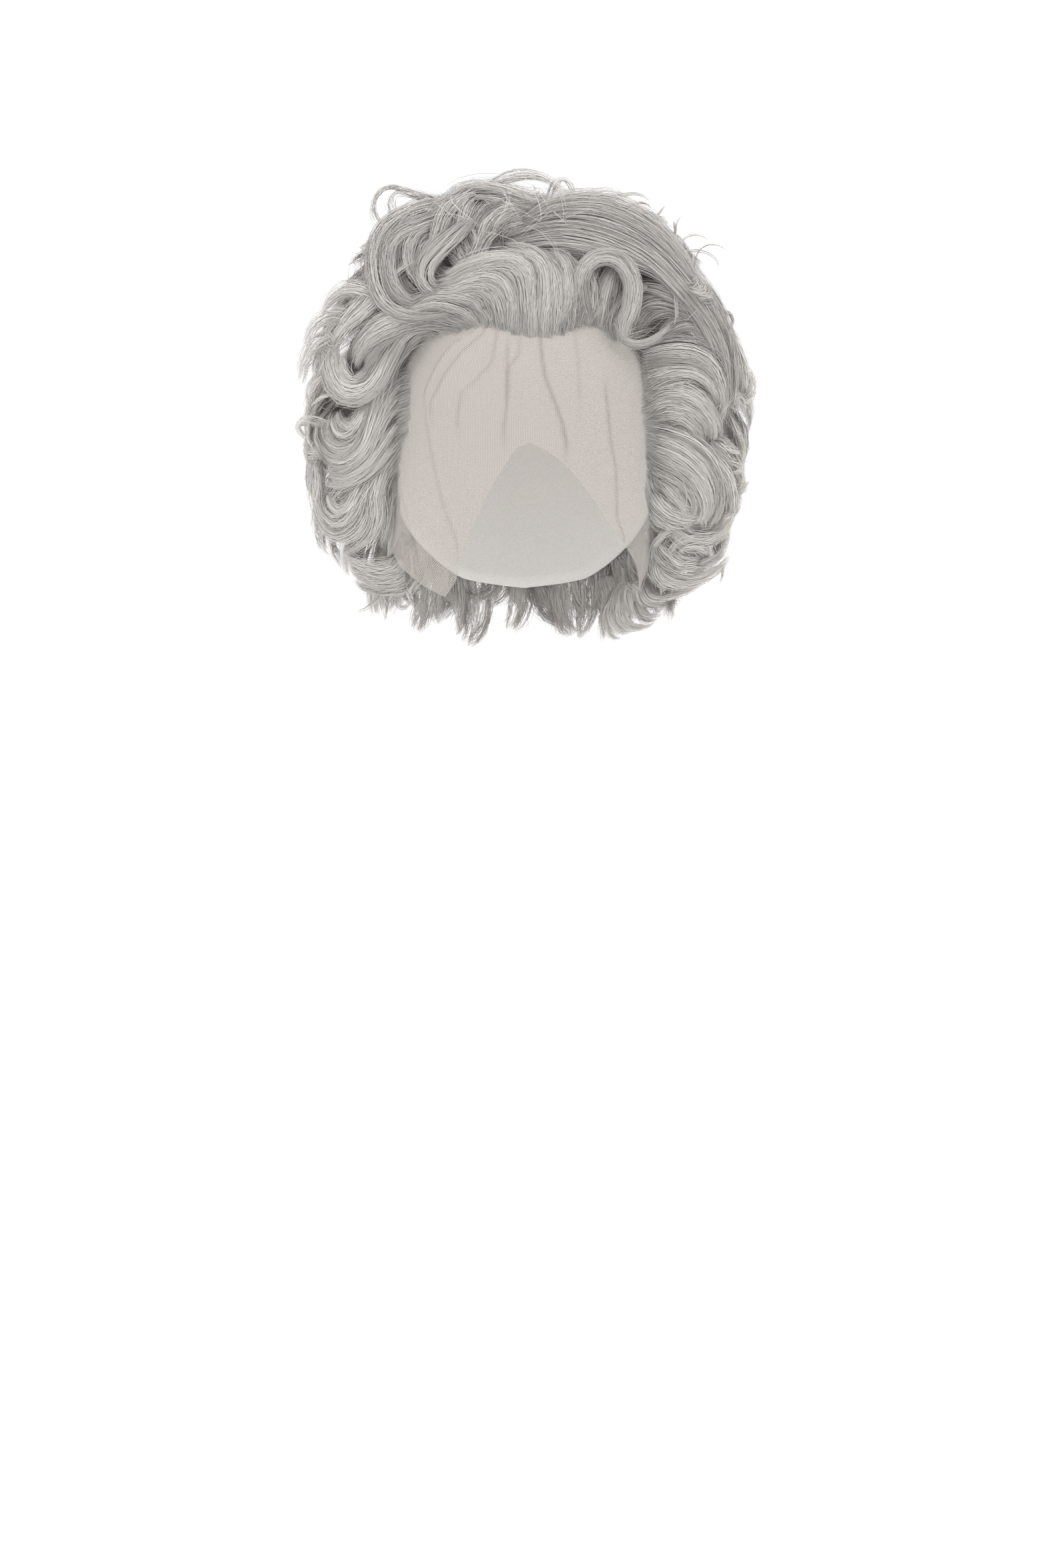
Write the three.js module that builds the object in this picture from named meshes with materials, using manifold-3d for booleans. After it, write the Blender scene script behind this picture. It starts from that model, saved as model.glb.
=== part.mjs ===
// A lace front wig: a stretch net cap, the sheer lace sheet sewn to its front edge, and curled hair in six sections.
// Millimetres, +Z up. The face looks along -Y and the origin is the top of the head, where the cap sits.
// A place on the head is an azimuth, 0 at the nose and + towards +X, and a polar angle, 0 at the crown.

import * as THREE from 'three';
import { mergeVertices } from 'three/addons/utils/BufferGeometryUtils.js';
import Module from 'manifold-3d';

const wasm = await Module();
wasm.setup();

// The head that the cap is made for: a rounded form about the centre of the skull
const headHalfWidth = 76;
const headFrontDepth = 92;
const headBackDepth = 98;
const crownRise = 92;
const jawDrop = 165;
const headSquareness = 2.35;

// Cloth walls, their facets and the lace's folds, and the clearance between neighbouring pieces
const capThickness = 1.5;
const capRows = 6;
const laceThickness = 1.0;
const laceRows = 6;
const creaseFade = 4;
const flareCurve = 4;
const gap = 0.3;
const cutDepth = 12;

// The hair's under-layer: its depth, its seat on the cap, the width of its facets, and how it hangs away below the rim
const underLayerDepth = 40;
const underLayerSeat = 0.9;
const underLayerColumn = 13;
const edgeStep = 4;
const hangPerDegree = 0.7;
const hangFromAz = 84;

// Locks: where they are tied, their thickness, the share of their width at the root and left at the tip, their facets
const rootDepth = 8;
const rootInset = 7;
const lockThickness = 3;
const thicknessOfWidth = 0.35;
const rootFullness = 0.6;
const rootSwell = 1.6;
const tipTaper = 0.8;
const tipSharpness = 5;
const lockSides = 5;
const weftSides = 4;
const lockStep = 19;
const lockTurn = 48;
const stridesPerStep = 8;

// The cap's edge from the nose round to the nape: the lace seam over forehead and temple, the ear tab, the nape
const capRim = [
  { az: 0, polar: 40 },
  { az: 30, polar: 41 },
  { az: 52, polar: 50 },
  { az: 70, polar: 74 },
  { az: 84, polar: 104 },
  { az: 96, polar: 122 },
  { az: 110, polar: 119 },
  { az: 130, polar: 125 },
  { az: 155, polar: 132 },
  { az: 180, polar: 134 },
];

// The lace sheet's free lower edge, and how far it stands off the face there
const laceEdge = [
  { az: -92, polar: 119, flare: 3 },
  { az: -76, polar: 129, flare: 7 },
  { az: -60, polar: 134, flare: 7 },
  { az: -46, polar: 138, flare: 4 },
  { az: -34, polar: 140.5, flare: 2 },
  { az: -28, polar: 137, flare: 0 },
  { az: -24, polar: 130, flare: 0 },
  { az: -17, polar: 120, flare: 0 },
  { az: -10, polar: 109, flare: 0 },
  { az: -3, polar: 99, flare: 0 },
  { az: 2, polar: 97, flare: 0 },
  { az: 8, polar: 100, flare: 0 },
  { az: 15, polar: 105, flare: 0 },
  { az: 23, polar: 113, flare: 0 },
  { az: 32, polar: 122, flare: 0 },
  { az: 43, polar: 129, flare: 0 },
  { az: 54, polar: 135, flare: 1 },
  { az: 66, polar: 142, flare: 1 },
  { az: 78, polar: 133, flare: 3 },
  { az: 92, polar: 119, flare: 2 },
];

// Creases where the loose lace buckles: a ridge from one place to another
const laceCreases = [
  { az: -46, polar: 66, toAz: -30, toPolar: 84, height: 1.6, width: 5 },
  { az: -13, polar: 72, toAz: -14, toPolar: 96, height: 1.8, width: 5 },
  { az: 7, polar: 70, toAz: 14, toPolar: 94, height: 2.2, width: 5 },
  { az: 34, polar: 76, toAz: 38, toPolar: 120, height: 1.8, width: 5 },
  { az: -40, polar: 108, toAz: -32, toPolar: 134, height: 1.5, width: 6 },
];

// Where the under-layer ends, from the nose to the nape: the hairline round the face, then the hanging lower edge
const hairEdge = [
  { az: 0, polar: 60 },
  { az: 24, polar: 58 },
  { az: 44, polar: 57 },
  { az: 55, polar: 66 },
  { az: 60, polar: 86 },
  { az: 66, polar: 106 },
  { az: 76, polar: 121 },
  { az: 92, polar: 129 },
  { az: 130, polar: 132 },
  { az: 155, polar: 136 },
  { az: 180, polar: 137 },
];

// How deep the under-layer is along those edges, and the angle over which it fills out
const edgeRuns = [
  { azFrom: -44, azTo: 44, depth: 4, taper: 30 },
  { azFrom: 48, azTo: 74, depth: 4, taper: 17 },
  { azFrom: 84, azTo: 276, depth: 15, taper: 28 },
  { azFrom: 286, azTo: 312, depth: 4, taper: 17 },
];

// Shaped locks, each curling in a plane of its own: where it leaves the hair, the way its flat side faces (azimuth,
// and lean upwards), its bearing there (0 up, 90 towards +X), its length, how it bends at root and tip in degrees
// per centimetre (+ clockwise seen from its face), how far its belly bows out of the plane, and its width
const lockColumns = ['x', 'y', 'z', 'facing', 'lean', 'bearing', 'length', 'bendRoot', 'bendTip', 'bow', 'width'];

const frontLocks = [
  [5, -86, -41, 0, 12, 0, 85, -6, -26, 4, 24],
  [20, -85, -37, 5, 12, 2, 64, -8, -28, 4, 22],
  [-7, -86, -40, 0, 12, -10, 68, -8, -25, 4, 22],
  [-20, -84, -34, -12, 8, -70, 112, -6, -10, 5, 20],
  [-35, -80, -34, -16, 6, -80, 98, -12, -8, 5, 20],
  [-51, -71, -35, -20, 4, -95, 68, -16, -10, 4, 16],
  [34, -84, -34, 10, 8, -6, 90, 0, 46, 6, 12],
  [58, -80, -29, 14, 0, 195, 55, -50, -14, 4, 12],
];

const crownLocks = [
  [-3, -64, 13, 25, 12, 40, 152, 9, 5, 5, 26],
  [11, -66, 12, 25, 12, 45, 140, 9, 8, 5, 24],
  [24, -68, 5, 25, 10, 42, 138, 12, 6, 5, 24],
  [45, -64, 11, 28, 8, 85, 114, 7, 8, 5, 22],
  [63, -60, -13, 28, 5, 80, 86, 9, 12, 5, 20],
  [-16, -38, 46, 8, 25, 50, 56, 16, 13, 3, 18],
  [-49, -58, 32, -10, 18, -100, 112, -15, -17, 5, 22],
  [-57, -78, -14, -8, 12, 18, 58, 0, 60, 4, 10],
  [-27, -76, 3, -5, 15, -5, 58, 18, 22, 4, 12],
  [-51, -45, 32, -5, 20, 35, 46, 17, 17, 3, 20],
];

const leftLocks = [
  [-74, -60, -28, -15, 5, -95, 87, -12, -33, 4, 16],
  [-87, -30, -15, -10, 5, -70, 40, -25, -25, 0, 12],
  [-112, -20, -40, -10, 0, -110, 40, -17, -17, 0, 12],
  [-87, -50, -75, -20, 0, 190, 64, 10, 46, 4, 18],
  [-66, -55, -77, -22, 0, -120, 68, -6, 10, 4, 20],
  [-67, -54, -91, -22, 0, -135, 65, 3, 10, 4, 20],
  [-71, -54, -107, -18, 0, -115, 72, -34, 38, 5, 14],
  [-89, -42, -115, -20, 0, 190, 56, 16, 44, 4, 18],
  [-120, -20, -110, -15, 0, 185, 40, -8, -8, 0, 12],
  [-85, -40, -142, -20, -5, 205, 50, 22, 34, 4, 18],
  [-76, -32, -158, -18, -8, 200, 40, 21, 21, 4, 20],
];

const rightLocks = [
  [68, -58, -56, 25, 0, 50, 80, 12, 22, 5, 20],
  [68, -57, -80, 25, 0, 45, 63, 18, 22, 5, 20],
  [69, -56, -93, 25, 0, 105, 90, 6, 24, 6, 20],
  [72, -52, -116, 22, 0, 85, 76, 14, 34, 4, 16],
  [73, -46, -150, 18, -5, 170, 70, -30, -6, 4, 14],
  [88, -40, -157, 15, 0, 85, 38, 30, 70, 0, 9],
  [76, -34, -168, 15, -5, 175, 48, -29, -29, 2, 12],
  [70, -22, -178, 12, -5, 175, 48, -44, -4, 2, 12],
  [115, -14, -56, 20, 0, 165, 32, -22, -22, 0, 12],
  [114, -16, -125, 20, 0, 160, 28, 12, 12, 0, 14],
];

const napeLocks = [
  [55, 25, -190, 5, 0, 160, 32, -34, -34, 0, 10],
  [48, 40, -200, 5, 0, 165, 24, -65, -65, 0, 7],
  [-57, 48, -180, -10, 0, 185, 32, -6, -6, 0, 8],
];

// Rows of curls sewn round the head: a row's place, the locks in it, their bearing (0 to the crown, 90 towards
// +azimuth), length and bends, how high they stand at root, belly and tip, and their width. Every second lock bends
// the other way.
const weftColumns = ['polar', 'azFrom', 'azTo', 'count', 'bearing', 'length', 'bendRoot', 'bendTip', 'liftRoot',
  'liftBelly', 'liftTip', 'width'];

const crownWefts = [
  [5, 90, 270, 3, 165, 58, 8, 18, 34, 47, 48, 40],
  [27, 84, 276, 5, 168, 58, 8, 26, 32, 49, 50, 48],
];

const leftWefts = [
  [50, -124, -82, 3, 176, 58, 8, 28, 32, 48, 50, 42],
  [74, -120, -78, 3, 180, 58, 8, 32, 32, 48, 50, 42],
  [98, -124, -84, 3, 178, 56, 10, 34, 26, 42, 46, 38],
];

const rightWefts = [
  [50, 82, 124, 3, 184, 58, -8, -28, 32, 48, 50, 42],
  [74, 78, 120, 3, 180, 58, -8, -32, 32, 48, 50, 42],
  [98, 84, 124, 3, 182, 56, -10, -34, 26, 42, 46, 38],
];

const backWefts = [
  [52, 156, 204, 3, 178, 58, 8, 28, 32, 48, 50, 44],
  [74, 152, 208, 3, 182, 58, 8, 30, 32, 48, 50, 46],
  [94, 158, 202, 3, 178, 56, 8, 32, 28, 45, 48, 42],
];

const napeWefts = [
  [112, 148, 212, 3, 180, 50, 8, 34, 20, 34, 38, 40],
  [126, 146, 214, 3, 180, 38, 8, 40, 10, 20, 26, 36],
];

// The hair's sections: the stretch of head that each under-layer covers, and the locks fused to it
const sections = [
  { name: 'hair_front', azFrom: -56, azTo: 56, polarFrom: 36, rows: 4, locks: frontLocks, wefts: [] },
  { name: 'hair_left', azFrom: -134, azTo: -56, polarFrom: 36, rows: 7, locks: leftLocks, wefts: leftWefts },
  { name: 'hair_right', azFrom: 56, azTo: 134, polarFrom: 36, rows: 7, locks: rightLocks, wefts: rightWefts },
  { name: 'hair_crown', azFrom: -180, azTo: 180, polarTo: 36, rows: 3, locks: crownLocks, wefts: crownWefts },
  { name: 'hair_back', azFrom: 134, azTo: 226, polarFrom: 36, polarTo: 104, rows: 5, locks: [], wefts: backWefts },
  { name: 'hair_nape', azFrom: 134, azTo: 226, polarFrom: 104, rows: 4, locks: napeLocks, wefts: napeWefts },
];

const capCloth = new THREE.MeshStandardMaterial({ color: 0xd9d0c8, roughness: 0.9, metalness: 0 });
const laceCloth = new THREE.MeshStandardMaterial({ color: 0xcbc1bb, roughness: 0.85, metalness: 0 });
const silverHair = new THREE.MeshStandardMaterial({ color: 0xbebdbb, roughness: 0.45, metalness: 0 });

const headCentre = new THREE.Vector3(0, 0, -crownRise);
const radians = THREE.MathUtils.degToRad;

function towards(az, polar) {
  const across = Math.sin(radians(polar));
  return new THREE.Vector3(across * Math.sin(radians(az)), -across * Math.cos(radians(az)), Math.cos(radians(polar)));
}

function headRadius(direction) {
  const depth = direction.y < 0 ? headFrontDepth : headBackDepth;
  const height = direction.z > 0 ? crownRise : jawDrop;
  const sum = Math.pow(Math.abs(direction.x) / headHalfWidth, headSquareness)
    + Math.pow(Math.abs(direction.y) / depth, headSquareness)
    + Math.pow(Math.abs(direction.z) / height, headSquareness);
  return Math.pow(sum, -1 / headSquareness);
}

function overHead(direction, lift) {
  return headCentre.clone().addScaledVector(direction, headRadius(direction) + lift);
}

// A column of an edge table at any azimuth, straight between its rows; a one-sided table serves both sides
function alongEdge(table, column, az) {
  let turned = THREE.MathUtils.euclideanModulo(az + 180, 360) - 180;
  if (table[0].az >= 0) turned = Math.abs(turned);
  const next = table.findIndex((row) => row.az >= turned);
  if (next <= 0) return table[next < 0 ? table.length - 1 : 0][column];
  const before = table[next - 1];
  const share = (turned - before.az) / (table[next].az - before.az);
  return THREE.MathUtils.lerp(before[column], table[next][column], share);
}

// A closed body from corner points, with shared corners merged and pinched facets left out
function solidFrom(corners) {
  const loose = new THREE.BufferGeometry().setFromPoints(corners);
  const merged = mergeVertices(loose, 1e-3);
  const index = merged.index.array;
  const triangles = [];
  for (let i = 0; i < index.length; i += 3) {
    const [a, b, c] = index.subarray(i, i + 3);
    if (a !== b && b !== c && c !== a) triangles.push(a, b, c);
  }
  return new wasm.Manifold(new wasm.Mesh({
    numProp: 3,
    vertProperties: new Float32Array(merged.attributes.position.array),
    triVerts: new Uint32Array(triangles),
  }));
}

// A wall over a grid of azimuth columns and rows from top to edge: place(column, row, face) gives its corners,
// with face 1 on the outside and 0 on the inside. A ring closes on itself.
function wall(columnCount, rowCount, place, isRing = false) {
  const corners = [];
  const quad = (a, b, c, d) => corners.push(a, b, c, a, c, d);
  for (let i = 0; i < columnCount; i += 1) {
    const j = isRing ? (i + 1) % columnCount : i + 1;
    for (let row = 0; row < rowCount; row += 1) {
      quad(place(i, row, 1), place(i, row + 1, 1), place(j, row + 1, 1), place(j, row, 1));
      quad(place(i, row, 0), place(j, row, 0), place(j, row + 1, 0), place(i, row + 1, 0));
    }
    quad(place(i, 0, 1), place(j, 0, 1), place(j, 0, 0), place(i, 0, 0));
    quad(place(j, rowCount, 1), place(i, rowCount, 1), place(i, rowCount, 0), place(j, rowCount, 0));
  }
  if (isRing) return solidFrom(corners);
  for (let row = 0; row < rowCount; row += 1) {
    quad(place(0, row + 1, 1), place(0, row, 1), place(0, row, 0), place(0, row + 1, 0));
    quad(place(columnCount, row, 1), place(columnCount, row + 1, 1),
      place(columnCount, row + 1, 0), place(columnCount, row, 0));
  }
  return solidFrom(corners);
}

// The angle that a length covers on the head
function degreesOver(length) {
  return THREE.MathUtils.radToDeg(length / headHalfWidth);
}

// Azimuths of the cloth's columns: the lace's own, which its seam shares, and even steps round the back of the cap
const wideColumn = 12;
const laceAzimuths = laceEdge.flatMap(({ az }, i) => {
  const before = i ? laceEdge[i - 1].az : az;
  return az - before > wideColumn ? [(before + az) / 2, az] : [az];
});
const backSpan = 360 - (laceAzimuths.at(-1) - laceAzimuths[0]);
const backColumns = Math.round(backSpan / wideColumn);
const backAzimuths = Array.from({ length: backColumns - 1 }, (_, i) => (
  laceAzimuths.at(-1) + backSpan * (i + 1) / backColumns));
const capAzimuths = [...laceAzimuths, ...backAzimuths];

// The cap: one shell from the crown down to its rim. Grown by `grow`, and deeper, it cuts what lies against it.
function capSolid(grow, depth) {
  const outer = capThickness + grow;
  const place = (column, row, face) => {
    const az = capAzimuths[column];
    const polar = (alongEdge(capRim, 'polar', az) + degreesOver(grow)) * row / capRows;
    return overHead(towards(az, polar), face ? outer : outer - depth);
  };
  return wall(capAzimuths.length, capRows, place, true);
}

function creaseHeight(az, polar) {
  let height = 0;
  for (const crease of laceCreases) {
    const run = crease.toPolar - crease.polar;
    const share = (polar - crease.polar) / run;
    const across = az - THREE.MathUtils.lerp(crease.az, crease.toAz, share);
    const along = THREE.MathUtils.clamp(share, 0, 1) - share;
    height += crease.height * Math.exp(-Math.pow(across / crease.width, 2) - Math.pow(along * creaseFade, 2));
  }
  return height;
}

// The lace sheet: from the cap's seam down to its free edge, standing off the face at the loose corners
function laceSolid(grow, depth) {
  const outer = capThickness + grow;
  const place = (column, row, face) => {
    const az = laceAzimuths[column];
    const share = row / laceRows;
    const seam = alongEdge(capRim, 'polar', az) + degreesOver(grow ? -grow : gap);
    const polar = THREE.MathUtils.lerp(seam, alongEdge(laceEdge, 'polar', az), share);
    const loose = alongEdge(laceEdge, 'flare', az) * share ** flareCurve + creaseHeight(az, polar);
    return overHead(towards(az, polar), (face ? outer : outer - depth) + loose);
  };
  return wall(laceAzimuths.length - 1, laceRows, place);
}

// Where a lock's hair is tied: in the under-layer below its root, or above it where it hangs past the hairline
function rootOf(point) {
  const out = point.clone().sub(headCentre).normalize();
  const az = THREE.MathUtils.radToDeg(Math.atan2(out.x, -out.y));
  const polar = THREE.MathUtils.radToDeg(Math.acos(out.z));
  const inside = alongEdge(hairEdge, 'polar', az) - rootInset;
  return overHead(towards(az, Math.min(polar, inside)), rootDepth);
}

// Lock sections from root to tip, each with its middle and the directions along, across and out of the lock
function shapedLock(values, grow) {
  const lock = Object.fromEntries(lockColumns.map((name, i) => [name, values[i]]));
  const face = towards(lock.facing, 90 - lock.lean);
  const up = towards(lock.facing + 180, lock.lean);
  const right = new THREE.Vector3().crossVectors(up, face);
  const root = new THREE.Vector3(lock.x, lock.y, lock.z);
  const turn = Math.abs(lock.bendRoot + lock.bendTip) / 2 * lock.length / 10;
  const steps = Math.ceil(Math.max(lock.length / lockStep, turn / lockTurn));
  const strides = steps * stridesPerStep;
  const stride = lock.length / strides;
  const middles = [];
  let bearing = lock.bearing;
  const point = root.clone();
  for (let k = 0; k <= strides; k += 1) {
    const share = k / strides;
    if (k % stridesPerStep === 0) middles.push(point.clone().addScaledVector(face, lock.bow * Math.sin(Math.PI * share)));
    point.addScaledVector(up, Math.cos(radians(bearing)) * stride);
    point.addScaledVector(right, Math.sin(radians(bearing)) * stride);
    bearing += THREE.MathUtils.lerp(lock.bendRoot, lock.bendTip, share) * stride / 10;
  }
  middles.unshift(rootOf(root));
  return lockSolid(middles, middles.map(() => face), lock.width, lockSides, grow);
}

function weftLock(weft, number, grow) {
  const spread = (weft.azTo - weft.azFrom) / Math.max(1, weft.count - 1);
  const turn = number % 2 ? -1 : 1;
  let out = towards(weft.azFrom + spread * number, weft.polar);
  const up = new THREE.Vector3(0, 0, 1).addScaledVector(out, -out.z).normalize();
  const right = new THREE.Vector3().crossVectors(up, out);
  const heading = up.multiplyScalar(Math.cos(radians(weft.bearing)));
  heading.addScaledVector(right, turn * Math.sin(radians(weft.bearing)));
  const steps = Math.round(weft.length / lockStep);
  const stride = weft.length / steps;
  const belly = 2 * weft.liftBelly - (weft.liftRoot + weft.liftTip) / 2;
  const middles = [];
  const faces = [];
  for (let k = 0; k <= steps; k += 1) {
    const share = k / steps;
    const lift = (1 - share) ** 2 * weft.liftRoot + 2 * share * (1 - share) * belly + share ** 2 * weft.liftTip;
    middles.push(overHead(out, lift));
    faces.push(out.clone());
    const arc = stride / (headRadius(out) + lift);
    const ahead = out.clone().multiplyScalar(Math.cos(arc)).addScaledVector(heading, Math.sin(arc));
    heading.multiplyScalar(Math.cos(arc)).addScaledVector(out, -Math.sin(arc));
    out = ahead;
    const bend = THREE.MathUtils.lerp(weft.bendRoot, weft.bendTip, share) * stride / 10;
    heading.applyAxisAngle(out, -turn * radians(bend));
  }
  return lockSolid(middles, faces, weft.width, weftSides, grow);
}

// A lock's body: flattened rings on its middles, full along most of its length and drawn to a point
function lockSolid(middles, faces, width, sides, grow) {
  const thick = lockThickness + thicknessOfWidth * width;
  const last = middles.length - 1;
  const rings = middles.slice(0, last).map((middle, k) => {
    const along = middles[k + 1].clone().sub(middles[Math.max(0, k - 1)]).normalize();
    const out = faces[k].clone().addScaledVector(along, -faces[k].dot(along)).normalize();
    const across = new THREE.Vector3().crossVectors(out, along);
    const share = k / last;
    const fullness = Math.min(1, rootFullness + rootSwell * share) * (1 - tipTaper * share ** tipSharpness);
    const seat = k ? middle : middle.clone().addScaledVector(along, -2 * grow);
    return Array.from({ length: sides }, (_, side) => {
      const angle = 2 * Math.PI * side / sides;
      return seat.clone()
        .addScaledVector(across, Math.cos(angle) * (fullness * width / 2 + 2 * grow))
        .addScaledVector(out, Math.sin(angle) * (fullness * thick / 2 + 2 * grow));
    });
  });
  const corners = [];
  const tip = middles[last].clone().addScaledVector(middles[last].clone().sub(middles[last - 1]).normalize(), 4 * grow);
  for (let side = 0; side < sides; side += 1) {
    const next = (side + 1) % sides;
    for (let k = 0; k + 1 < rings.length; k += 1) {
      const [a, b, c, d] = [rings[k][side], rings[k][next], rings[k + 1][next], rings[k + 1][side]];
      corners.push(a, b, c, a, c, d);
    }
    corners.push(rings.at(-1)[side], rings.at(-1)[next], tip);
    if (side > 1) corners.push(rings[0][0], rings[0][side], rings[0][side - 1]);
  }
  return solidFrom(corners);
}

function underLayerDepthAt(direction) {
  const depths = edgeRuns.map((run) => {
    let nearest = 180;
    for (let az = run.azFrom; az <= run.azTo; az += edgeStep) {
      const edge = towards(az, alongEdge(hairEdge, 'polar', az));
      nearest = Math.min(nearest, THREE.MathUtils.radToDeg(direction.angleTo(edge)));
    }
    return THREE.MathUtils.lerp(run.depth, underLayerDepth, THREE.MathUtils.smoothstep(nearest, 0, run.taper));
  });
  return Math.min(...depths);
}

// A section's under-layer: thin at the hairline, deeper further in, hanging clear below the cap's rim.
// Grown, it keeps its grid and moves its faces out.
function underLayer(section, grow) {
  const isRing = section.azTo - section.azFrom === 360;
  const columns = Math.round((section.azTo - section.azFrom) / underLayerColumn);
  const extra = degreesOver(2 * grow);
  const outwards = (index, last) => (index === last) - (index === 0);
  const place = (column, row, face) => {
    const az = THREE.MathUtils.lerp(section.azFrom, section.azTo, column / columns);
    const from = section.polarFrom ?? 0;
    const to = section.polarTo ?? alongEdge(hairEdge, 'polar', az);
    const polar = THREE.MathUtils.lerp(from, to, row / section.rows);
    const below = Math.max(0, polar - alongEdge(capRim, 'polar', az));
    const hang = Math.abs(az) > hangFromAz ? below * hangPerDegree : 0;
    const lift = face ? underLayerDepthAt(towards(az, polar)) + hang + 2 * grow : underLayerSeat + hang;
    const shiftedAz = az + (isRing ? 0 : outwards(column, columns) * extra);
    const shiftedPolar = polar + (from || row ? outwards(row, section.rows) * extra : 0);
    return overHead(towards(shiftedAz, shiftedPolar), capThickness + lift);
  };
  return wall(columns, section.rows, place, isRing);
}

function hairSolid(section, grow) {
  const locks = section.locks.map((values) => shapedLock(values, grow));
  for (const values of section.wefts) {
    const weft = Object.fromEntries(weftColumns.map((name, i) => [name, values[i]]));
    for (let number = 0; number < weft.count; number += 1) locks.push(weftLock(weft, number, grow));
  }
  return locks.reduce((sum, lock) => sum.add(lock), underLayer(section, grow));
}

function largestBody(solid) {
  return solid.decompose().reduce((best, body) => (body.volume() > best.volume() ? body : best));
}

function meshOf(name, solid, cloth) {
  const { vertProperties, triVerts } = solid.getMesh();
  const geometry = new THREE.BufferGeometry();
  geometry.setAttribute('position', new THREE.BufferAttribute(vertProperties, 3));
  geometry.setIndex(new THREE.BufferAttribute(triVerts, 1));
  geometry.computeVertexNormals();
  const mesh = new THREE.Mesh(geometry, cloth);
  mesh.name = name;
  return mesh;
}

const wig = new THREE.Group();
wig.add(meshOf('wig_cap', capSolid(0, capThickness), capCloth));
wig.add(meshOf('lace_front', laceSolid(0, laceThickness), laceCloth));

// Each section gives way to the cap, the lace and the sections before it
let taken = capSolid(gap, cutDepth).add(laceSolid(gap, cutDepth));
for (const section of sections) {
  const body = largestBody(hairSolid(section, 0).subtract(taken));
  wig.add(meshOf(section.name, body, silverHair));
  taken = taken.add(body).add(hairSolid(section, gap));
}

export default wig;
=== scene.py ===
import math
import bpy
import numpy as np
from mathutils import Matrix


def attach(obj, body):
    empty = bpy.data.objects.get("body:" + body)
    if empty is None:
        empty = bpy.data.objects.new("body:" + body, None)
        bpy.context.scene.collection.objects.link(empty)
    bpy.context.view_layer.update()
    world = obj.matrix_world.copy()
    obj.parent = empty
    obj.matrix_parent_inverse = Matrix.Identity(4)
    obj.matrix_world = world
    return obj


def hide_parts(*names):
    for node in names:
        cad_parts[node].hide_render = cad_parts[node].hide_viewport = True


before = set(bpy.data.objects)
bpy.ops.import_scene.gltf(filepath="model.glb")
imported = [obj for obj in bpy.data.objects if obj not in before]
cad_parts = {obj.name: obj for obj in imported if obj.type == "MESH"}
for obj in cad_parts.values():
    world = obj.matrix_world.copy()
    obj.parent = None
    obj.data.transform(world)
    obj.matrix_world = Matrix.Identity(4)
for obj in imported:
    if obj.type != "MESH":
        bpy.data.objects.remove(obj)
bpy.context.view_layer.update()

# The stretch net cap: one thin shell of fine beige net from the crown to its bound rim, shaped to an adult
# head about the centre of the skull. Places on it are an azimuth, 0 at the nose and + towards +X, and a polar
# angle, 0 at the crown. Sizes are in millimetres, and meshes are made in metres.
HEAD_HALF_WIDTH = 76.0
HEAD_FRONT_DEPTH = 92.0
HEAD_BACK_DEPTH = 98.0
CROWN_RISE = 92.0
JAW_DROP = 165.0
HEAD_SQUARENESS = 2.35
CAP_THICKNESS = 1.5
HEAD_CENTRE = np.array([0, 0, -CROWN_RISE])
NET_TONES = [(0.0, (0.89, 0.865, 0.84)), (0.12, (0.88, 0.855, 0.83)), (0.3, (0.82, 0.797, 0.773))]
MM = 0.001

# azimuth, polar angle
CAP_RIM = [
    (0, 40), (30, 41), (52, 50), (70, 74), (84, 104), (96, 122), (110, 119), (130, 125), (155, 132),
    (180, 134),
]


def along_edge(table, az, column=1):
    """A column of an edge's table at an azimuth. A table that starts at 0 serves both sides of the head."""
    turned = (np.asarray(az, float) + 180) % 360 - 180
    if table[0][0] >= 0:
        turned = np.abs(turned)
    return np.interp(turned, [row[0] for row in table], [row[column] for row in table])


def towards(az, polar):
    """The way from the head's centre, one unit long."""
    az, polar = np.broadcast_arrays(np.radians(az), np.radians(polar))
    across = np.sin(polar)
    return np.stack([across * np.sin(az), -across * np.cos(az), np.cos(polar)], axis=-1)


def head_radius(way):
    """How far the head's surface is from its centre along each way."""
    depth = np.where(way[..., 1] < 0, HEAD_FRONT_DEPTH, HEAD_BACK_DEPTH)
    height = np.where(way[..., 2] > 0, CROWN_RISE, JAW_DROP)
    total = np.abs(way[..., 0] / HEAD_HALF_WIDTH) ** HEAD_SQUARENESS
    total = total + np.abs(way[..., 1] / depth) ** HEAD_SQUARENESS
    total = total + np.abs(way[..., 2] / height) ** HEAD_SQUARENESS
    return total ** (-1 / HEAD_SQUARENESS)


def over_head(way, lift):
    """The places that lie that far above the head's surface."""
    return way * (head_radius(way) + lift)[..., None] + HEAD_CENTRE


def laid_grid(name, columns, rows, place):
    """A grid of cloth laid over the head: place(across, down) gives millimetres for shares from 0 to 1."""
    bpy.ops.object.select_all(action="DESELECT")
    bpy.ops.mesh.primitive_grid_add(x_subdivisions=columns, y_subdivisions=rows, size=1)
    piece = bpy.context.object
    piece.name = name
    flat = np.empty(len(piece.data.vertices) * 3)
    piece.data.vertices.foreach_get("co", flat)
    shares = flat.reshape(-1, 3) + 0.5
    laid = place(shares[:, 0], 1 - shares[:, 1]) * MM
    piece.data.vertices.foreach_set("co", laid.ravel())
    piece.data.update()
    return piece


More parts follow.
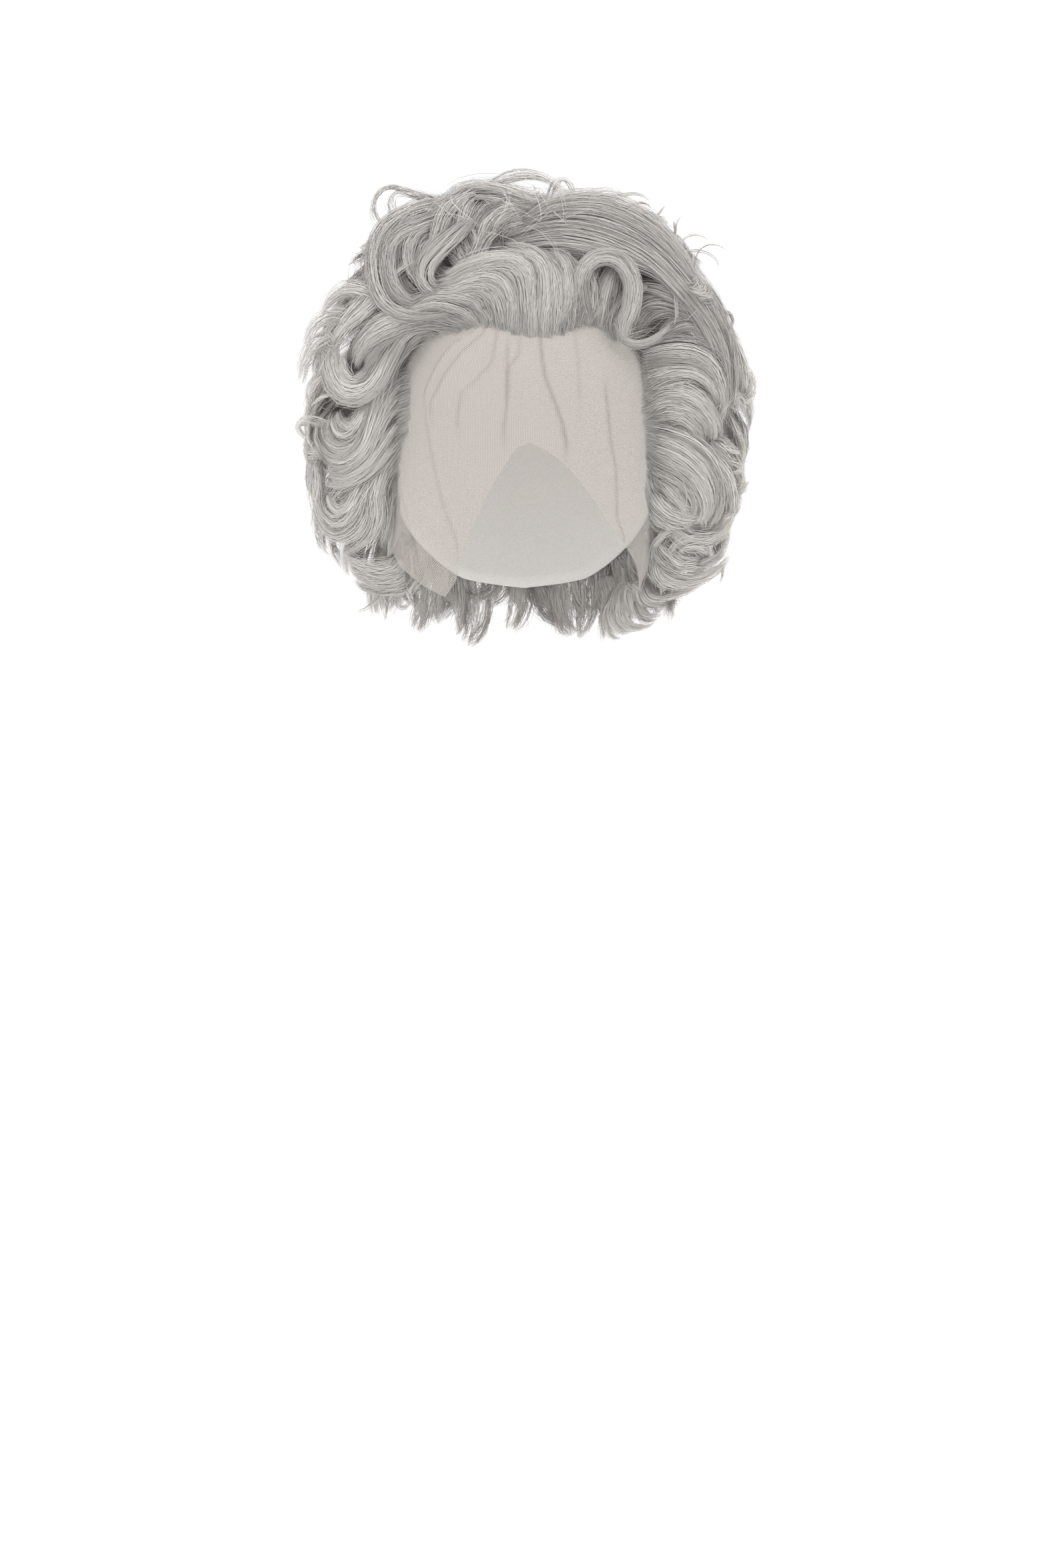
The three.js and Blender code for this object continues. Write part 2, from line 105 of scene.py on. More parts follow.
def sewn_up(piece, closeness=0.00005):
    """Joins a laid grid's edges where they meet, and turns its faces outwards."""
    bpy.ops.object.mode_set(mode="EDIT")
    bpy.ops.mesh.select_all(action="SELECT")
    bpy.ops.mesh.remove_doubles(threshold=closeness)
    bpy.ops.mesh.normals_make_consistent(inside=False)
    bpy.ops.object.mode_set(mode="OBJECT")
    bpy.ops.object.shade_smooth()


def thickened(piece, thickness, offset):
    solidify = piece.modifiers.new("Thickness", "SOLIDIFY")
    solidify.thickness = thickness * MM
    solidify.offset = offset
    bpy.ops.object.modifier_apply(modifier=solidify.name)


def cap_place(across, down):
    az = across * 360 - 180
    return over_head(towards(az, down * along_edge(CAP_RIM, az)), CAP_THICKNESS)


cap = laid_grid("stretch_net_cap", columns=120, rows=44, place=cap_place)
sewn_up(cap)
thickened(cap, CAP_THICKNESS, offset=-1)


def finish_named(name, roughness):
    material = bpy.data.materials.new(name)
    material.use_nodes = True
    shader = material.node_tree.nodes["Principled BSDF"]
    shader.inputs["Roughness"].default_value = roughness
    return material, material.node_tree.nodes, material.node_tree.links, shader


def ramp_node(nodes, stops):
    ramp = nodes.new("ShaderNodeValToRGB")
    while len(ramp.color_ramp.elements) < len(stops):
        ramp.color_ramp.elements.new(0.5)
    for element, (place, colour) in zip(ramp.color_ramp.elements, stops):
        element.position = place
        element.color = (*colour, 1)
    return ramp


cap_net, nodes, links, shader = finish_named("cap net", 0.85)
place = nodes.new("ShaderNodeTexCoord")
meshes = nodes.new("ShaderNodeTexVoronoi")
meshes.feature = "DISTANCE_TO_EDGE"
meshes.inputs["Scale"].default_value = 700
yarn = ramp_node(nodes, NET_TONES)
ridge = nodes.new("ShaderNodeBump")
ridge.inputs["Strength"].default_value = 0.12
ridge.inputs["Distance"].default_value = 0.0003
ridge.invert = True
links.new(place.outputs["Object"], meshes.inputs["Vector"])
links.new(meshes.outputs["Distance"], yarn.inputs["Fac"])
links.new(yarn.outputs["Color"], shader.inputs["Base Color"])
links.new(meshes.outputs["Distance"], ridge.inputs["Height"])
links.new(ridge.outputs["Normal"], shader.inputs["Normal"])
shader.inputs["Sheen Weight"].default_value = 0.2
cap.data.materials.append(cap_net)
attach(cap, "root")
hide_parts("wig_cap")

# The lace front: one sheer sheet of hexagonal net, sewn along the cap's front edge and left untrimmed, so it
# hangs loose over the face with a notch in the middle and two long corners. It is a single layer of net.
NET_PITCH = 1.0
FACE_ROUND_ACROSS = 82.0
FACE_ROUND_DOWN = 96.0
# the lace's own colour, then the darker brown of the painted shade along its creases
LACE_AND_CREASE_SHADE_TONES = [(0.0, (0.47, 0.425, 0.40)), (1.0, (0.27, 0.225, 0.195))]

# in degrees: the lace's reach from the nose, its start below the cap's rim, a crease's slope, the width of
# its line of painted shade, and its fading
LACE_HALF_SPAN = 92.0
SEAM_LAP = 0.3
CREASE_SLOPE = 2.2
CREASE_LINE = 0.7
CREASE_FADE = 5.0

# azimuth, polar angle, how far the free edge stands off the face
LACE_EDGE = [
    (-92, 119, 3), (-76, 129, 7), (-60, 134, 7), (-46, 138, 4), (-34, 140.5, 2), (-28, 137, 0),
    (-24, 130, 0), (-17, 120, 0), (-10, 109, 0), (-3, 99, 0), (2, 97, 0), (8, 100, 0), (15, 105, 0),
    (23, 113, 0), (32, 122, 0), (43, 129, 0), (54, 135, 1), (66, 142, 1), (78, 133, 3), (92, 119, 2),
]

# height, then the azimuth and polar angle of the points along the crease
LACE_CREASES = [
    (1.9, (5.7, 56), (6.3, 68), (7.3, 75), (10.7, 84), (12.8, 90), (14.2, 96)),
    (1.4, (-6.4, 66), (-5.9, 78), (-6.1, 84), (-7.2, 92)),
    (1.0, (-1.8, 60), (-2.0, 66), (-5.6, 71), (-6.2, 76)),
    (1.5, (-15.8, 58), (-23.8, 65), (-29.5, 72), (-35.4, 82)),
    (1.5, (-20, 57), (-28.9, 62), (-34, 68), (-39, 78)),
    (1.2, (-10.8, 60), (-11.8, 69), (-18, 76), (-22.4, 79), (-23.7, 87)),
    (1.6, (29.8, 80), (30.6, 88), (31.5, 96), (34.2, 105), (35.9, 120), (41.6, 127)),
    (1.0, (-38, 88), (-34, 105), (-30, 118), (-26, 126)),
    (1.0, (-60, 104), (-53, 118), (-46, 131)),
    (0.8, (19.5, 56), (19.6, 68), (19.3, 78)),
]


def crease_asides(az, polar):
    """For each crease its height, and how far a place on the lace lies beside it and beyond its ends."""
    for height, *points in LACE_CREASES:
        line_az, line_polar = zip(*points)
        aside = az - np.interp(polar, line_polar, line_az)
        beyond = polar - np.clip(polar, line_polar[0], line_polar[-1])
        yield height, aside, np.exp(-(beyond / CREASE_FADE) ** 2)


def lace_angles(across, down, lap=0.0):
    az = across * 2 * LACE_HALF_SPAN - LACE_HALF_SPAN
    seam = along_edge(CAP_RIM, az) + lap
    return az, seam + (along_edge(LACE_EDGE, az) - seam) * down


def lace_place(across, down):
    az, polar = lace_angles(across, down, SEAM_LAP)
    loose = along_edge(LACE_EDGE, az, 2) * down ** 4
    for height, aside, fading in crease_asides(az, polar):
        loose = loose + height * np.exp(-np.abs(aside) / CREASE_SLOPE) * fading
    return over_head(towards(az, polar), CAP_THICKNESS + loose)


lace = laid_grid("lace_front_sheet", columns=225, rows=90, place=lace_place)
bpy.ops.object.shade_smooth()
net_map = lace.data.uv_layers[0]
net_map.name = "net"
spread = np.empty(len(lace.data.loops) * 2)
net_map.data.foreach_get("uv", spread)
spread = spread.reshape(-1, 2)
lace_az, lace_polar = lace_angles(spread[:, 0], 1 - spread[:, 1])
round_face = np.radians(lace_az) * FACE_ROUND_ACROSS
down_face = np.radians(lace_polar) * FACE_ROUND_DOWN
spread = np.stack([round_face, down_face], axis=-1) / NET_PITCH
net_map.data.foreach_set("uv", spread.ravel())
# painted shade along each crease: how strongly the lace darkens there
crease_shade = np.zeros(len(lace_az))
for height, aside, fading in crease_asides(lace_az, lace_polar):
    crease_shade = crease_shade + height * np.exp(-(aside / CREASE_LINE) ** 2) * fading
lace.data.attributes.new("crease_shade", "FLOAT", "CORNER").data.foreach_set("value", np.clip(crease_shade / 2, 0, 1))


def math_node(nodes, links, operation, first, second=None):
    node = nodes.new("ShaderNodeMath")
    node.operation = operation
    for socket, value in zip(node.inputs, (first, second)):
        if value is None:
            continue
        if isinstance(value, (int, float)):
            socket.default_value = value
        else:
            links.new(value, socket)
    return node.outputs[0]


# three waves at a sixth of a turn from each other add up to a hexagonal net
lace_net, nodes, links, shader = finish_named("lace net", 0.7)
net_uv = nodes.new("ShaderNodeUVMap")
net_uv.uv_map = "net"
waves = []
for turn in (0, 60, 120):
    way = nodes.new("ShaderNodeVectorMath")
    way.operation = "DOT_PRODUCT"
    angle = math.radians(turn)
    reach = 4 * math.pi / math.sqrt(3)
    way.inputs[1].default_value = (reach * math.cos(angle), reach * math.sin(angle), 0)
    links.new(net_uv.outputs["UV"], way.inputs[0])
    waves.append(math_node(nodes, links, "COSINE", way.outputs["Value"]))
meshes = math_node(nodes, links, "ADD", math_node(nodes, links, "ADD", waves[0], waves[1]), waves[2])
thread = nodes.new("ShaderNodeMapRange")
thread.interpolation_type = "SMOOTHSTEP"
thread.inputs["From Min"].default_value = 0.9
thread.inputs["From Max"].default_value = -0.2
thread.inputs["To Min"].default_value = 0.12
thread.inputs["To Max"].default_value = 0.85
links.new(meshes, thread.inputs["Value"])
links.new(thread.outputs["Result"], shader.inputs["Alpha"])
# painted shade: the lace's colour darkens to brown along its creases
crease_shade_node = nodes.new("ShaderNodeAttribute")
crease_shade_node.attribute_name = "crease_shade"
crease_shade_tint = ramp_node(nodes, LACE_AND_CREASE_SHADE_TONES)
links.new(crease_shade_node.outputs["Fac"], crease_shade_tint.inputs["Fac"])
links.new(crease_shade_tint.outputs["Color"], shader.inputs["Base Color"])
shader.inputs["Sheen Weight"].default_value = 0.3
lace.data.materials.append(lace_net)
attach(lace, "root")
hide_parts("lace_front")

# The hair's ground: the tangle of short hair between the wefts, a grey mass that starts thin at the hairline,
# deepens over the head and thins out again near the cap's lower rim. Its darker grey is painted shade, and it
# shows only as the shade between the locks.
GROUND_DEPTH = 32.0
GROUND_GAP = 0.6
GROUND_OUTSIDE = 0.88
SHADED_TONES = [(0.3, (0.30, 0.287, 0.275)), (0.7, (0.46, 0.44, 0.42))]

# azimuth, polar angle
GROUND_EDGE = [
    (0, 50), (24, 49), (46, 48), (58, 54), (68, 70), (76, 88), (84, 104), (96, 117), (130, 122), (155, 128),
    (180, 130),
]

# the stretch of that edge, the depth there, the angle over which it fills out
EDGE_RUNS = [(-46, 46, 1, 52), (50, 82, 2, 32), (90, 270, 6, 30), (278, 310, 2, 32)]


def ground_depth(way):
    depth = np.full(way.shape[:-1], GROUND_DEPTH)
    for az_from, az_to, edge_depth, taper in EDGE_RUNS:
        azimuths = np.arange(az_from, az_to + 1, 4)
        edge = towards(azimuths, along_edge(GROUND_EDGE, azimuths))
        nearest = np.degrees(np.arccos(np.clip((way @ edge.T).max(axis=-1), -1, 1)))
        share = np.clip(nearest / taper, 0, 1)
        depth = np.minimum(depth, edge_depth + (GROUND_DEPTH - edge_depth) * share * share * (3 - 2 * share))
    return depth


def ground_place(across, down):
    az = across * 360 - 180
    outside = np.clip(down / GROUND_OUTSIDE, 0, 1)
    inwards = np.clip((down - GROUND_OUTSIDE) / (1 - GROUND_OUTSIDE), 0, 1)
    way = towards(az, outside * along_edge(GROUND_EDGE, az))
    return over_head(way, CAP_THICKNESS + GROUND_GAP + ground_depth(way) * (1 - inwards))


ground = laid_grid("hair_ground", columns=144, rows=64, place=ground_place)
sewn_up(ground)
ground_hair, nodes, links, shader = finish_named("shaded hair", 0.8)
place = nodes.new("ShaderNodeTexCoord")
tangle = nodes.new("ShaderNodeTexNoise")
tangle.inputs["Scale"].default_value = 420
tangle.inputs["Detail"].default_value = 3
stretch = nodes.new("ShaderNodeMapping")
stretch.inputs["Scale"].default_value = (1, 1, 0.15)
painted_shade = ramp_node(nodes, SHADED_TONES)
links.new(place.outputs["Object"], stretch.inputs["Vector"])
links.new(stretch.outputs["Vector"], tangle.inputs["Vector"])
links.new(tangle.outputs["Fac"], painted_shade.inputs["Fac"])
links.new(painted_shade.outputs["Color"], shader.inputs["Base Color"])
ground.data.materials.append(ground_hair)
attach(ground, "root")

# Short hair under the locks, of the silver-grey fibre that all the hair is made of: strands that lie on the
# ground and wander down it, and hairs tied into the lace that leave the hairline backwards and outwards. A
# strand is a flat ribbon, gathered with others into wisps, and carries its rounded lock's own normals.
STRAND_WIDTH = 0.3
STRAND_GAP = 0.5
NECK_LEVEL = -178.0
WISP_WIDTH = 2.0
FLAT_WISP_WIDTH = 1.2
FEWEST_WISPS = 4
STRAY_SHARE = 0.03
MIDDLE_TONE = 0.57
TONE_BAND = 0.01
SILVER_TONES = [(0.0, (0.38, 0.365, 0.35)), (0.5, (0.60, 0.575, 0.55)), (1.0, (0.80, 0.77, 0.74))]
# Painted shade: each strand's colour darkens towards its root, near the head.
ROOT_PAINTED_SHADE_TONES = [(0.0, (0.78, 0.78, 0.78)), (0.25, (0.95, 0.95, 0.95)), (0.8, (1.0, 1.0, 1.0))]
chance = np.random.default_rng(7)


def unit(vectors):
    return vectors / np.maximum(np.linalg.norm(vectors, axis=-1, keepdims=True), 1e-9)


class Wisps:
    """How the strands of one lock differ, by wisp and by strand: places in shares of the lock's half width,
    turns in degrees, bends and lengths as factors, and tones from 0 for dark to 1 for light."""

    def __init__(self, count, width, painted_shade=0.0, flat=False):
        wisps = max(FEWEST_WISPS, int(width / (FLAT_WISP_WIDTH if flat else WISP_WIDTH)))
        wisp = chance.integers(0, wisps, count)
        angle = chance.uniform(0, 2 * np.pi, wisps)
        reach = np.sqrt(chance.uniform(0, 1, wisps))
        self.across = (reach * np.cos(angle))[wisp] + chance.normal(0, 0.16, count)
        self.out = (reach * np.sin(angle))[wisp] + chance.normal(0, 0.16, count)
        if flat:
            self.across = chance.uniform(-1, 1, wisps)[wisp] + chance.normal(0, 0.26, count)
            self.out = chance.uniform(-0.4, 1, wisps)[wisp] + chance.normal(0, 0.16, count)
        self.spin = chance.normal(0, 0.15 if flat else 0.5, wisps)[wisp]
        self.bend = 1 + chance.normal(0, 0.06, wisps)[wisp] + chance.normal(0, 0.02, count)
        self.turn = chance.normal(0, 3, wisps)[wisp] + chance.normal(0, 1.5, count)
        self.drift = chance.normal(0, 0.5, wisps)[wisp] + chance.normal(0, 0.15, count)
        self.length = 1 - np.abs(chance.normal(0, 0.09, wisps))[wisp] - np.abs(chance.normal(0, 0.05, count))
        self.length = np.clip(self.length, 0.55, 1)
        stray = chance.random(count) < STRAY_SHARE
        self.bend = np.where(stray, self.bend + chance.normal(0, 0.22, count), self.bend)
        self.drift = np.where(stray, self.drift * 4, self.drift)
        # A strand's tone varies at random by wisp and strand and is shifted by its piece's painted shade. It
        # also carries painted shade of its own: darker low in the lock and towards its edges, lighter on top.
        self.tone = MIDDLE_TONE + painted_shade + chance.normal(0, 0.08, wisps)[wisp] + chance.normal(0, 0.05, count)
        self.tone = self.tone + 0.18 * self.out - 0.28 * self.across ** 2


def square_to(vectors, along):
    """The part of each vector that is square to a run, one unit long."""
    return unit(vectors - along * np.sum(vectors * along, axis=-1, keepdims=True))


def fanned(path, faces, wisps, width):
    """A lock's strands spread round its own line and kept out of the cap: their middles, runs and normals."""
    count, points, _ = path.shape
    share = np.linspace(0, 1, points)
    along = unit(np.gradient(path, axis=1))
    out = square_to(faces, along)
    across = np.cross(out, along)
    full = np.minimum(1, 0.8 + share) * (1 - 0.65 * share ** 3)
    thick = 2 + 0.3 * width
    waves = 0.35 * np.sin(2 * np.pi * (share[None] * chance.uniform(0.8, 2.2, (count, 1))
                                       + chance.random((count, 1))))
    waves = waves * min(1.6, width / 5)
    spin = wisps.spin[:, None] * share
    aside = wisps.across[:, None] * np.cos(spin) - wisps.out[:, None] * np.sin(spin)
    above = wisps.out[:, None] * np.cos(spin) + wisps.across[:, None] * np.sin(spin) * 0.5
    aside = aside * width / 2 * full + waves + wisps.drift[:, None] * width / 4 * share ** 2
    above = above * thick / 2 * full + waves[::-1]
    middle = path + across * aside[..., None] + out * above[..., None]
    reach = np.linalg.norm(middle - HEAD_CENTRE, axis=-1)
    way = (middle - HEAD_CENTRE) / reach[..., None]
    sunk = np.maximum(head_radius(way) + CAP_THICKNESS + STRAND_GAP - reach, 0)
    middle = middle + way * np.where(middle[..., 2] > NECK_LEVEL, sunk, 0)[..., None]
    tilt = chance.normal(0, 0.22, (count, 1, 1))
    sideways = 0.65 * wisps.across[:, None, None] + tilt
    normal = across * sideways + out * (0.8 + 0.3 * wisps.out[:, None, None])
    along = unit(np.gradient(middle, axis=1))
    return middle, along, square_to(normal, along)


def ribbon_mesh(name, bundles):
    """One mesh of flat ribbons from bundles of (paths, faces, wisps, width)."""
    corners, normals, quads, uvs, start = [], [], [], [], 0
    for path, faces, wisps, width in bundles:
        count, points, _ = path.shape
        share = np.linspace(0, 1, points)
        middle, along, normal = fanned(path, faces, wisps, width)
        edge = np.cross(along, normal)
        half = STRAND_WIDTH / 2 * np.minimum(1, 0.35 + 4 * share) * (1 - 0.85 * share ** 4)
        half = half[None, :, None] * chance.uniform(0.7, 1.3, (count, 1, 1))
        corners.append(np.stack([middle - edge * half, middle + edge * half], axis=2).reshape(-1, 3))
        normals.append(np.repeat(normal, 2, axis=1).reshape(-1, 3))
        first = start + 2 * (np.arange(count)[:, None] * points + np.arange(points - 1)[None, :])
        quads.append(np.stack([first, first + 1, first + 3, first + 2], axis=-1).reshape(-1, 4))
        low = np.broadcast_to(share[None, :-1], (count, points - 1))
        high = np.broadcast_to(share[None, 1:], (count, points - 1))
        tone = np.broadcast_to(np.clip(wisps.tone, 0.02, 0.98)[:, None], low.shape)
        sides = [np.stack([low, tone - TONE_BAND], -1), np.stack([low, tone + TONE_BAND], -1),
                 np.stack([high, tone + TONE_BAND], -1), np.stack([high, tone - TONE_BAND], -1)]
        uvs.append(np.stack(sides, axis=2).reshape(-1, 2))
        start += count * points * 2
    corners, quads, uvs = np.concatenate(corners) * MM, np.concatenate(quads), np.concatenate(uvs)
    mesh = bpy.data.meshes.new(name)
    mesh.vertices.add(len(corners))
    mesh.vertices.foreach_set("co", corners.ravel())
    mesh.loops.add(quads.size)
    mesh.loops.foreach_set("vertex_index", quads.ravel().astype(np.int32))
    mesh.polygons.add(len(quads))
    mesh.polygons.foreach_set("loop_start", np.arange(0, quads.size, 4, dtype=np.int32))
    mesh.polygons.foreach_set("use_smooth", np.ones(len(quads), dtype=bool))
    for layer in ("strand", "OFBake"):
        mesh.uv_layers.new(name=layer).data.foreach_set("uv", uvs.ravel())
    mesh.update(calc_edges=True)
    mesh.normals_split_custom_set_from_vertices(np.concatenate(normals).tolist())
    piece = bpy.data.objects.new(name, mesh)
    bpy.context.collection.objects.link(piece)
    return piece


silver_hair, nodes, links, shader = finish_named("silver hair", 0.42)
strand_uv = nodes.new("ShaderNodeUVMap")
strand_uv.uv_map = "strand"
parts = nodes.new("ShaderNodeSeparateXYZ")
tones = ramp_node(nodes, SILVER_TONES)
# painted shade towards each strand's root, multiplied into its tone
root_painted_shade = ramp_node(nodes, ROOT_PAINTED_SHADE_TONES)
shaded = nodes.new("ShaderNodeMix")
shaded.data_type = "RGBA"
shaded.blend_type = "MULTIPLY"
shaded.inputs["Factor"].default_value = 1
links.new(strand_uv.outputs["UV"], parts.inputs["Vector"])
links.new(parts.outputs["Y"], tones.inputs["Fac"])
links.new(parts.outputs["X"], root_painted_shade.inputs["Fac"])
links.new(tones.outputs["Color"], shaded.inputs["A"])
links.new(root_painted_shade.outputs["Color"], shaded.inputs["B"])
links.new(shaded.outputs["Result"], shader.inputs["Base Color"])
shader.inputs["Specular IOR Level"].default_value = 0.45


def finished_hair(piece, node=None):
    piece.data.materials.append(silver_hair)
    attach(piece, "root")
    if node:
        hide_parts(node)


def headed(out, bearing):
    """The way along the head from each place: a bearing of 0 is to the crown, 90 towards + azimuth."""
    up = unit(np.array([0, 0, 1]) - out * out[:, 2:])
    angle = np.radians(bearing)[:, None]
    return up * np.cos(angle) + np.cross(up, out) * np.sin(angle)


def walked(out, heading, stride, points, lift_at, bend_at):
    """Strands that walk over the head, with their height over it and their bend in degrees at each step."""
    path, faces = [], []
    for step in range(points):
        lift = lift_at(step, out)
        path.append(over_head(out, lift))
        faces.append(out)
        arc = (stride / (head_radius(out) + lift))[:, None]
        out, heading = out * np.cos(arc) + heading * np.sin(arc), heading * np.cos(arc) - out * np.sin(arc)
        bend = np.radians(bend_at(step))[:, None]
        heading = unit(heading * np.cos(bend) + np.cross(out, heading) * np.sin(bend))
    return np.stack(path, axis=1), np.stack(faces, axis=1)


UNDER_POINTS = 8
UNDER_SPREAD = 12
UNDER_WIDTH = 1.0
UNDER_REACH = 124
EDGE_MARGIN = 3

# polar angle, azimuth of the hairline beside the face
TEMPLE_EDGE = [(55, 41), (57, 44), (66, 55), (86, 60), (106, 66), (121, 76), (126, 84)]


def ground_strands(count):
    """Hairs all over the ground: up from the forehead, back beside the face and down elsewhere, in waves."""
    az = chance.uniform(-180, 180, count)
    polar = np.degrees(np.arccos(chance.uniform(np.cos(np.radians(UNDER_REACH)), 1, count)))
    inside = along_edge(GROUND_EDGE, az) - polar > EDGE_MARGIN
    az, polar = az[inside], polar[inside]
    count = len(az)
    wisps = Wisps(count, UNDER_SPREAD)
    out = towards(az, np.maximum(polar, 1))
    beside_face = (np.abs(az) < 100) & (polar > 45)
    away = np.where(np.abs(az) < 58, 0, np.where(beside_face, 100 * np.sign(az), 180))
    bearing = away + 35 * np.sin(az / 9) + 25 * np.sin(polar / 5) + chance.normal(0, 12, count)
    height = chance.uniform(0.5, 4, count)
    phase = chance.uniform(0, 2 * np.pi, count)
    stride = chance.uniform(4, 7, count)
    path, faces = walked(out, headed(out, bearing), stride, UNDER_POINTS,
                         lambda step, here: CAP_THICKNESS + GROUND_GAP + ground_depth(here) + height,
                         lambda step: 16 * np.sin(phase + step * 0.8))
    return path, faces, wisps, UNDER_WIDTH


def hairline_strands(count):
    """Short hairs tied into the lace along the hairline, that lean back from the face and turn down."""
    polar = chance.uniform(55, 125, count)
    side = np.where(chance.random(count) < 0.5, -1, 1)
    edge = np.interp(polar, [row[0] for row in TEMPLE_EDGE], [row[1] for row in TEMPLE_EDGE])
    out = towards(side * (edge + chance.exponential(2.6, count)), polar)
    # the hairline hairs are painted a little darker as shade
    wisps = Wisps(count, UNDER_SPREAD, -0.04)
    lean = 78 + 14 * np.sin(polar / 3.1) + 9 * np.sin(polar * 1.7) + chance.normal(0, 9, count)
    stride = chance.uniform(4, 8, count)
    rise = chance.uniform(1.6, 3.6, count)
    curl = chance.normal(9, 4, count) * -side
    path, faces = walked(out, headed(out, side * lean), stride, UNDER_POINTS,
                         lambda step, here: CAP_THICKNESS + 0.2 + rise * step,
                         lambda step: curl * (0.4 + 0.25 * step))
    return path, faces, wisps, UNDER_WIDTH


finished_hair(ribbon_mesh("hair_under_strands", [ground_strands(5000), hairline_strands(2900)]))

# The front: locks tied into the lace that rise from the hairline and roll over to the -X side, and a ring
# curl with its hook on the +X side. A guided lock has its heights over the head from root to tip, its width,
# how far back it is set, and the points it passes through, sighted from the front in steps of 0.385 mm.
EYE = np.array([-1.2, -2800.0, -297.0])
SIGHT_CENTRE_ACROSS = 784
SIGHT_CENTRE_DOWN = 1176
SIGHT_PITCH = 0.385
SIGHT_DISTANCE = 2760
SIGHT_STEP = SIGHT_PITCH / SIGHT_DISTANCE
DEPTHS = np.arange(-170.0, 90.0, 2.0)
HEAD_GAP = 2.5
CHIN_LEVEL = -150.0
FULL_HEIGHT = 48
LOOP_HEIGHT = 51
GUIDE_STEPS = 60
THIN_LOCK = 4
LOCK_FULLNESS = 1.35
UNDER_DROP = 6
UNDER_FULLNESS = 1.2
HAIR_CENTRE = np.array([0, 0, -80])
HAIR_HALF_SIZES = np.array([130, 75, 135])
SMOOTHING_ROUNDS = 6
ROOT_STAGGER = 10
# the hair under a lock is painted darker as shade
UNDER_PAINTED_SHADE = -0.06
STRAND_STEP = 11
STRAND_STEP_TURN = 22
FEWEST_STEPS = 5
MOST_STEPS = 18

# level, how far forward the strands' faces lean
FACE_LEAN = [(-200, 1.2), (-140, 0.35)]


def sighted(front, depth):
    """The places at a depth that lie on the lines of sight through points seen from the front."""
    reach = (depth - EYE[1]) * SIGHT_STEP
    x = EYE[0] + (front[..., 0] - SIGHT_CENTRE_ACROSS) * reach
    z = EYE[2] + (SIGHT_CENTRE_DOWN - front[..., 1]) * reach
    return np.stack([x, np.broadcast_to(depth, x.shape), z], axis=-1)


def smooth_path(points, count):
    """A curve through the points of a guide, cut into even steps."""
    points = np.array(points, float)
    ends = np.concatenate([[2 * points[0] - points[1]], points, [2 * points[-1] - points[-2]]])
    t = np.linspace(0, 1, 12, endpoint=False)[:, None]
    runs = []
    for a, b, c, d in zip(ends, ends[1:], ends[2:], ends[3:]):
        square = 2 * a - 5 * b + 4 * c - d
        cube = 3 * b - a - 3 * c + d
        runs.append(b + ((c - a) * t + square * t ** 2 + cube * t ** 3) / 2)
    fine = np.concatenate(runs + [points[-1:]])
    gone = np.concatenate([[0], np.cumsum(np.linalg.norm(np.diff(fine, axis=0), axis=1))])
    even = np.linspace(0, gone[-1], count)
    return np.stack([np.interp(even, gone, fine[:, 0]), np.interp(even, gone, fine[:, 1])], axis=1)


# The dressed hair's form as seen from the front: level, half width and how far it stands forward.
FRONT_FORM = [
    (-220, 44, 10), (-205, 62, 20), (-185, 86, 32), (-165, 106, 44), (-145, 121, 54), (-110, 129, 62),
    (-70, 132, 66), (-55, 130, 73), (-40, 126, 86), (-10, 116, 84), (10, 106, 74), (30, 92, 57),
    (45, 76, 36), (55, 60, 14), (64, 40, 2),
]
FORM_ROUNDNESS = 2.5


def form_depth(place):
    """How far forward the hair's form stands at each place."""
    level = [row[0] for row in FRONT_FORM]
    half_width = np.interp(place[..., 2], level, [row[1] for row in FRONT_FORM])
    forward = np.interp(place[..., 2], level, [row[2] for row in FRONT_FORM])
    share = np.minimum(np.abs(place[..., 0]) / half_width, 0.985)
    return -forward * (1 - share ** FORM_ROUNDNESS) ** (1 / FORM_ROUNDNESS)


def laid_on_form(front, heights, back, layer, follow):
    """Where the lines of sight through a guide's points meet the hair's form, or the head under it."""
    seen = sighted(front[:, None, :], DEPTHS)
    from_centre = seen - HEAD_CENTRE
    distance = np.linalg.norm(from_centre, axis=-1)
    on_head = distance <= head_radius(from_centre / distance[..., None]) + HEAD_GAP
    on_head = on_head & (seen[..., 2] > CHIN_LEVEL)
    on_form = DEPTHS >= form_depth(seen) + (FULL_HEIGHT - heights[:, None]) * layer
    depth = DEPTHS[np.argmax(on_head | on_form, axis=1)] + back
    depth = depth[0] + (depth - depth[0]) * follow
    for _ in range(SMOOTHING_ROUNDS):
        depth = np.convolve(np.pad(depth, 1, mode="edge"), [0.25, 0.5, 0.25], mode="valid")
    return sighted(front, depth)


def lock_points(length, turn):
    """Enough points for a strand of that length in millimetres that turns through that many degrees."""
    steps = max(length / STRAND_STEP, turn / STRAND_STEP_TURN)
    return int(np.clip(steps, FEWEST_STEPS, MOST_STEPS)) + 1


